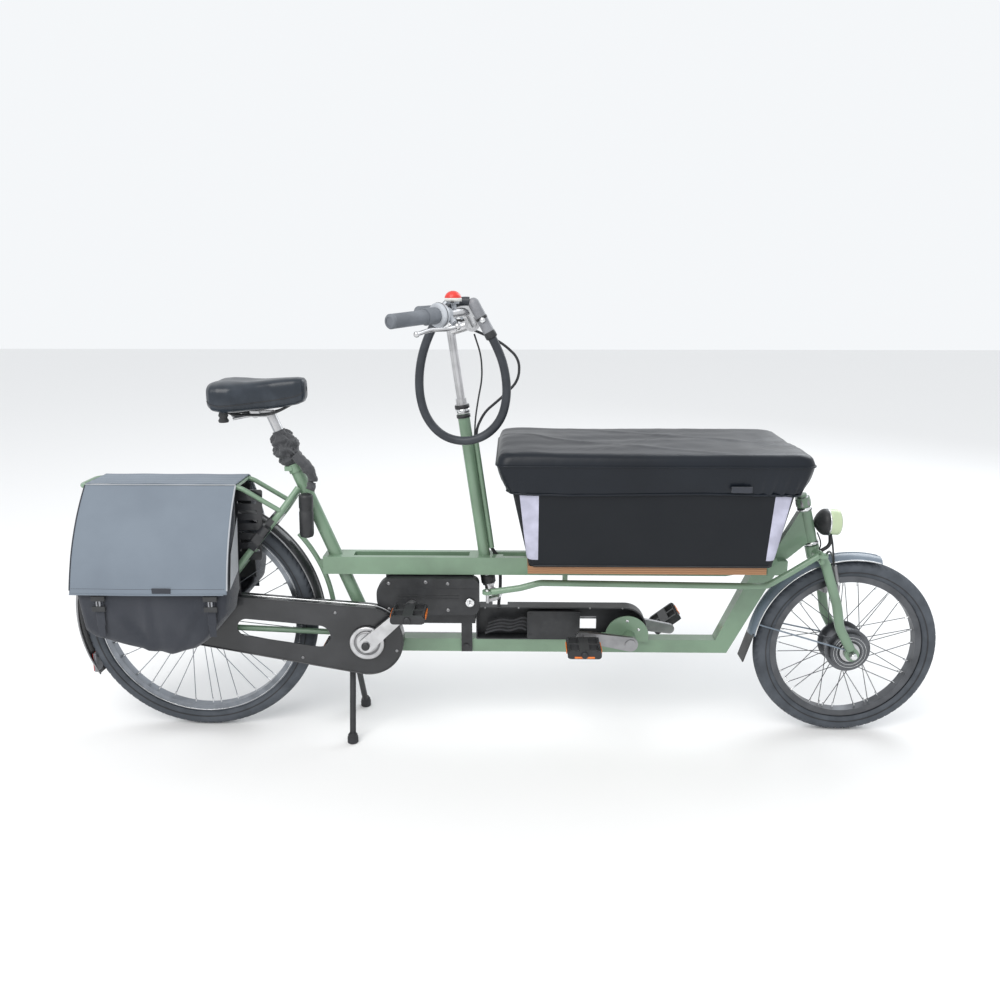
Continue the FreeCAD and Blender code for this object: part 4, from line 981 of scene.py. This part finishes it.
def ribs_on_grip():
    along = (BAR_KNEE - BAR_END).normalized()
    for side in (-1, 1):
        axis = Vector((along.x, -side * along.y, along.z))
        profile = [(10.5, -4), (15, -4), (17.2, -1), (17.2, 4), (16.2, 6)]
        for k in range(24):
            s = 8 + 4 * k
            profile += [(16.3, s), (17, s + 1), (17, s + 2.2), (16.3, s + 3)]
        profile += [(17.5, 104), (17.5, 107), (16.4, 108)]
        spot = at(BAR_END.x, -side * BAR_END.y, BAR_END.z)
        lathe("grip %d" % side, profile, spot, axis, "steering", GRIP, 40)
        twist = [(18.8, 108.5)]
        for k in range(8):
            s = 109 + 4.4 * k
            twist += [(18.8, s), (20.2, s + 1.2), (20.2, s + 2.8), (18.8, s + 4)]
        twist += [(19, 146), (12, 146.5)]
        lathe("twist part %d" % side, twist, spot, axis, "steering", GRIP, 40)
        shell = [(13, 147.2), (27, 147.5), (29.2, 150), (29.8, 156), (28.8, 163), (26.2, 168),
                 (20, 172), (15, 174), (12, 174)]
        lathe("shifter shell %d" % side, shell, spot, axis, "steering", HOUSING, 40)
        line = [(29.9, 155.5), (30.3, 155.5), (30.3, 157.2), (29.9, 157.2)]
        lathe("shifter line %d" % side, line, spot, axis, "steering", BLACK_PLASTIC, 40)


def bell():
    spot = BAR_END + (BAR_KNEE - BAR_END).normalized() * 212
    centre = at(spot.x - 4, spot.y - 2, spot.z + 34)
    dome = []
    for k in range(13):
        turn = radians(90 * k / 12)
        dome.append((20.6 * cos(turn), 19 * sin(turn)))
    lathe("bell dome", [(20.6, -2)] + dome, centre, (0, 0, 1), "steering", RED)
    lathe("bell band", [(19, -6), (21.2, -6), (21.4, 1.5), (20.7, 2)], centre, (0, 0, 1),
          "steering", WHITE)
    lathe("bell base", [(0, -12), (14, -12), (17, -6), (17, -4)], centre, (0, 0, 1),
          "steering", HOUSING)
    cuboid("bell lever", centre + Vector((-0.004, -0.032, -0.009)),
           centre + Vector((0.004, -0.012, -0.006)), "steering",
           BLACK_PLASTIC, 0.001)


def lamp():
    centre = at(1716, 0, 612)
    back = [(0, -24), (12, -22), (24, -14), (33.5, -4), (36.2, 3), (36.2, 10), (34.5, 12)]
    lathe("lamp back", back, centre, (1, 0, 0), "fork", BLACK_PLASTIC)
    shell = [(34.6, 9), (35, 16), (35.2, 30), (35.8, 38), (34.6, 40.5), (33.5, 39)]
    # The shell takes the light lime green of its sky-lit paint: a painted highlight, not the shell's own
    # colour.
    lathe("lamp shell painted highlight", shell, centre, (1, 0, 0), "fork", LAMP_SHELL_PAINTED_HIGHLIGHT)
    ring = [(36.2, 9.5), (37, 10.5), (37, 12.5), (35.5, 13.5)]
    lathe("lamp ring", ring, centre, (1, 0, 0), "fork", CHROME)
    glass = [(33.5, 39), (30, 41.5), (20, 43.5), (10, 44.5), (0, 44.8)]
    lathe("lamp glass", glass, centre, (1, 0, 0), "fork", LENS)
    bowl = [(32.5, 37), (24, 26), (12, 18), (0, 14)]
    lathe("lamp reflector", bowl, centre, (1, 0, 0), "fork", CHROME)
    wire = [at(1700, -8, 585), at(1712, -18, 560), at(1704, -20, 535), at(1708, -24, 505),
            at(1722, -36, 470), at(1740, -52, 400)]
    strand("lamp wire", wire, 0.0018, "fork", RUBBER)


def headset():
    head = Vector((-sin(HEAD_LEAN), 0, cos(HEAD_LEAN)))

    def spot(z):
        return at(1684 + (571 - z) * tan(HEAD_LEAN), 0, z)

    low = [(17.2, 0), (19.5, 1), (20.5, 4), (20, 8), (17.2, 10)]
    lathe("lower cup", low, spot(549.5), head, "frame", CHROME)
    high = [(17.2, 0), (20, 1), (20.5, 6), (18.5, 10), (17.2, 10)]
    lathe("upper cup", high, spot(645.5), head, "frame", CHROME)
    nut = [(19.2, 1), (20.8, 3), (20.8, 14), (20, 16), (20, 21), (17.8, 24), (15, 26), (0, 26)]
    lathe("head lock nut", nut, spot(657), head, "fork", STEEL, 6)


def brakes():
    for side in (-1, 1):
        lathe("brake bolt %d" % side, [(0, 4), (4.5, 4), (5.5, 2), (5.5, -2)],
              at(1756, side * 47.4, 452), (0, side, 0), "fork", CHROME, 16)
        side_box("brake shoe %d" % side, side, (1728, 1772), (17, 23), (436, 449), "fork", RUBBER, 0.002)
        spring = [at(1757 + 5 * cos(k * 0.9), side * (44 + k * 0.25), 404 + 5 * sin(k * 0.9))
                  for k in range(26)]
        strand("brake spring %d" % side, spring, 0.0007, "fork", CHROME)
    hose = [at(1742, -42, 500), at(1738, -36, 540), at(1736, -20, 580), at(1716, -14, 640)]
    strand("brake hose", hose, 0.0024, "fork", RUBBER)


def pedals():
    turns = {"rear_pedal_right": (REAR_CRANK_X, 170, 42, -1, 0),
             "rear_pedal_left": (REAR_CRANK_X, 170, 222, 1, 0),
             "front_pedal_right": (FRONT_CRANK_X, 135, 171, -1, 0),
             "front_pedal_left": (FRONT_CRANK_X, 135, 351, 1, -38)}
    for body, (x, length, degrees, side, tilt) in turns.items():
        turn = radians(degrees)
        cx, cz = x + length * cos(turn), CRANK_Z + length * sin(turn)
        y_in = 113 if x == REAR_CRANK_X else 112
        spin = radians(tilt)

        def place(u, y, w):
            """A point in the pedal's own tilted axes."""
            x = cx + u * cos(spin) + w * sin(spin)
            return at(x, side * (y_in + y), cz - u * sin(spin) + w * cos(spin))

        def slab(name, u0, u1, y0, y1, w0, w1, look):
            points = [place(u, y, w) for w in (w0, w1) for y in (y0, y1) for u in (u0, u1)]
            faces = [(0, 1, 3, 2), (4, 6, 7, 5), (0, 4, 5, 1), (2, 3, 7, 6), (0, 2, 6, 4), (1, 5, 7, 3)]
            piece = mesh_object("%s %s" % (body, name), points, faces, body, look, smooth=False)
            edge = piece.modifiers.new("edge", "BEVEL")
            edge.width = 0.0012
        for end in (-1, 1):
            u0, u1 = sorted((end * 44.2, end * 46.5))
            slab("reflector %d" % end, u0, u1, 22, 72, -7, 7, ORANGE)
            for k in range(7):
                y = 4 + 12.6 * k
                u0, u1 = sorted((end * 38.5, end * 43))
                slab("stud %d %d" % (end, k), u0, u1, y, y + 6, -12.6, 12.6, RUBBER)
        if body.startswith("front"):
            slab("outer reflector", -26, 26, 94.2, 95.4, -9, -4, ORANGE)
        lathe(body + " cap", [(0, 4), (7, 4), (9, 2), (9, -2)], place(0, 95, 0),
              (0, side, 0), body, BLACK_PLASTIC, 24)


def box_seams():
    for side in (-1, 1):
        low = [at(x, side * (170.4 + 0.8), 540) for x in range(930, 1535, 40)]
        strand("box base seam %d" % side, low, 0.0014, "frame", RUBBER)


def on_column(z):
    """The steering column's axis at a height."""
    return at(732 + (987 - z) * tan(COLUMN_LEAN), 0, z)


def stand_and_posts():
    for side in (-1, 1):
        foot = [(13.5, 0.5), (15, 2), (15, 6), (13.8, 8), (15, 10), (15, 14), (13.8, 16), (14.5, 18),
                (12, 24), (8.5, 30)]
        lathe("stand foot %d" % side, foot, at(434, side * 109, 0), (0, 0, 1), "kickstand", RUBBER, 28)
    collar = [(17.8, 0), (19.5, 1), (19.5, 10), (17.8, 11)]
    low_collar = [(16.1, 0), (18.5, 1), (18.5, 9), (16.1, 10)]
    axis = (-sin(COLUMN_LEAN), 0, cos(COLUMN_LEAN))
    for z, look in ((894, BLACK_PLASTIC), (908, CHROME), (918, BLACK_PLASTIC)):
        profile, body = (collar, "steering") if z > 900 else (low_collar, "frame")
        lathe("column collar %d" % z, profile, on_column(z), axis, body, look)
    lathe("lower bearing", [(17.2, 0), (20, 2), (20, 24), (17.2, 26)],
          on_column(434), axis, "steering", BLACK_PLASTIC)
    lathe("stem bolt", [(0, 5), (5, 5), (6, 3), (6, -1)], at(713.5, 0, 1133), axis,
          "steering", CHROME, 6)


wheels()
panniers()
cover()
saddle()
locks()
guards()
chain_case_trim()
cases()
ribs_on_grip()
bell()
lamp()
headset()
brakes()
pedals()
box_seams()
stand_and_posts()


# ---- camera, floor and light ----
def camera():
    yaw, pitch = -0.0179, 0.2466
    ahead = Vector((sin(yaw) * cos(pitch), cos(yaw) * cos(pitch), -sin(pitch)))
    right = Vector((cos(yaw), -sin(yaw), 0.0))
    up = right.cross(ahead)
    data = bpy.data.cameras.new("camera")
    data.lens = 31.53
    data.sensor_width = 36.0
    piece = bpy.data.objects.new("camera", data)
    turn = Matrix((right, up, -ahead)).transposed()
    piece.matrix_world = Matrix.Translation(at(882.2, -2301.8, 1248.8)) @ turn.to_4x4()
    bpy.context.scene.collection.objects.link(piece)
    bpy.context.scene.camera = piece


def area_light(name, place, target, size, power, colour=(1, 1, 1)):
    data = bpy.data.lights.new(name, "AREA")
    data.size = size
    data.energy = power
    data.color = colour
    piece = bpy.data.objects.new(name, data)
    piece.location = place
    piece.rotation_euler = (Vector(target) - Vector(place)).to_track_quat("-Z", "Y").to_euler()
    bpy.context.scene.collection.objects.link(piece)


def studio():
    size = 14.0
    corners = [(-size, -size, 0), (size, -size, 0), (size, size, 0), (-size, size, 0)]
    pale = new_material("floor", (0.86, 0.86, 0.86), 0.9)
    floor = mesh_object("floor", corners, [(0, 1, 2, 3)], None, pale, smooth=False)
    world = bpy.data.worlds.new("sky")
    world.use_nodes = True
    world.node_tree.nodes["Background"].inputs["Color"].default_value = (0.96, 0.98, 1.0, 1)
    world.node_tree.nodes["Background"].inputs["Strength"].default_value = 0.95
    bpy.context.scene.world = world
    area_light("key", (-1.5, -3.0, 4.2), (0, 0, 0.4), 3.5, 150, (1.0, 0.98, 0.95))
    area_light("rim", (2.5, 2.6, 3.2), (0, 0, 0.6), 2.5, 60, (0.92, 0.96, 1.0))
    bpy.context.scene.view_settings.view_transform = "Standard"


camera()
studio()
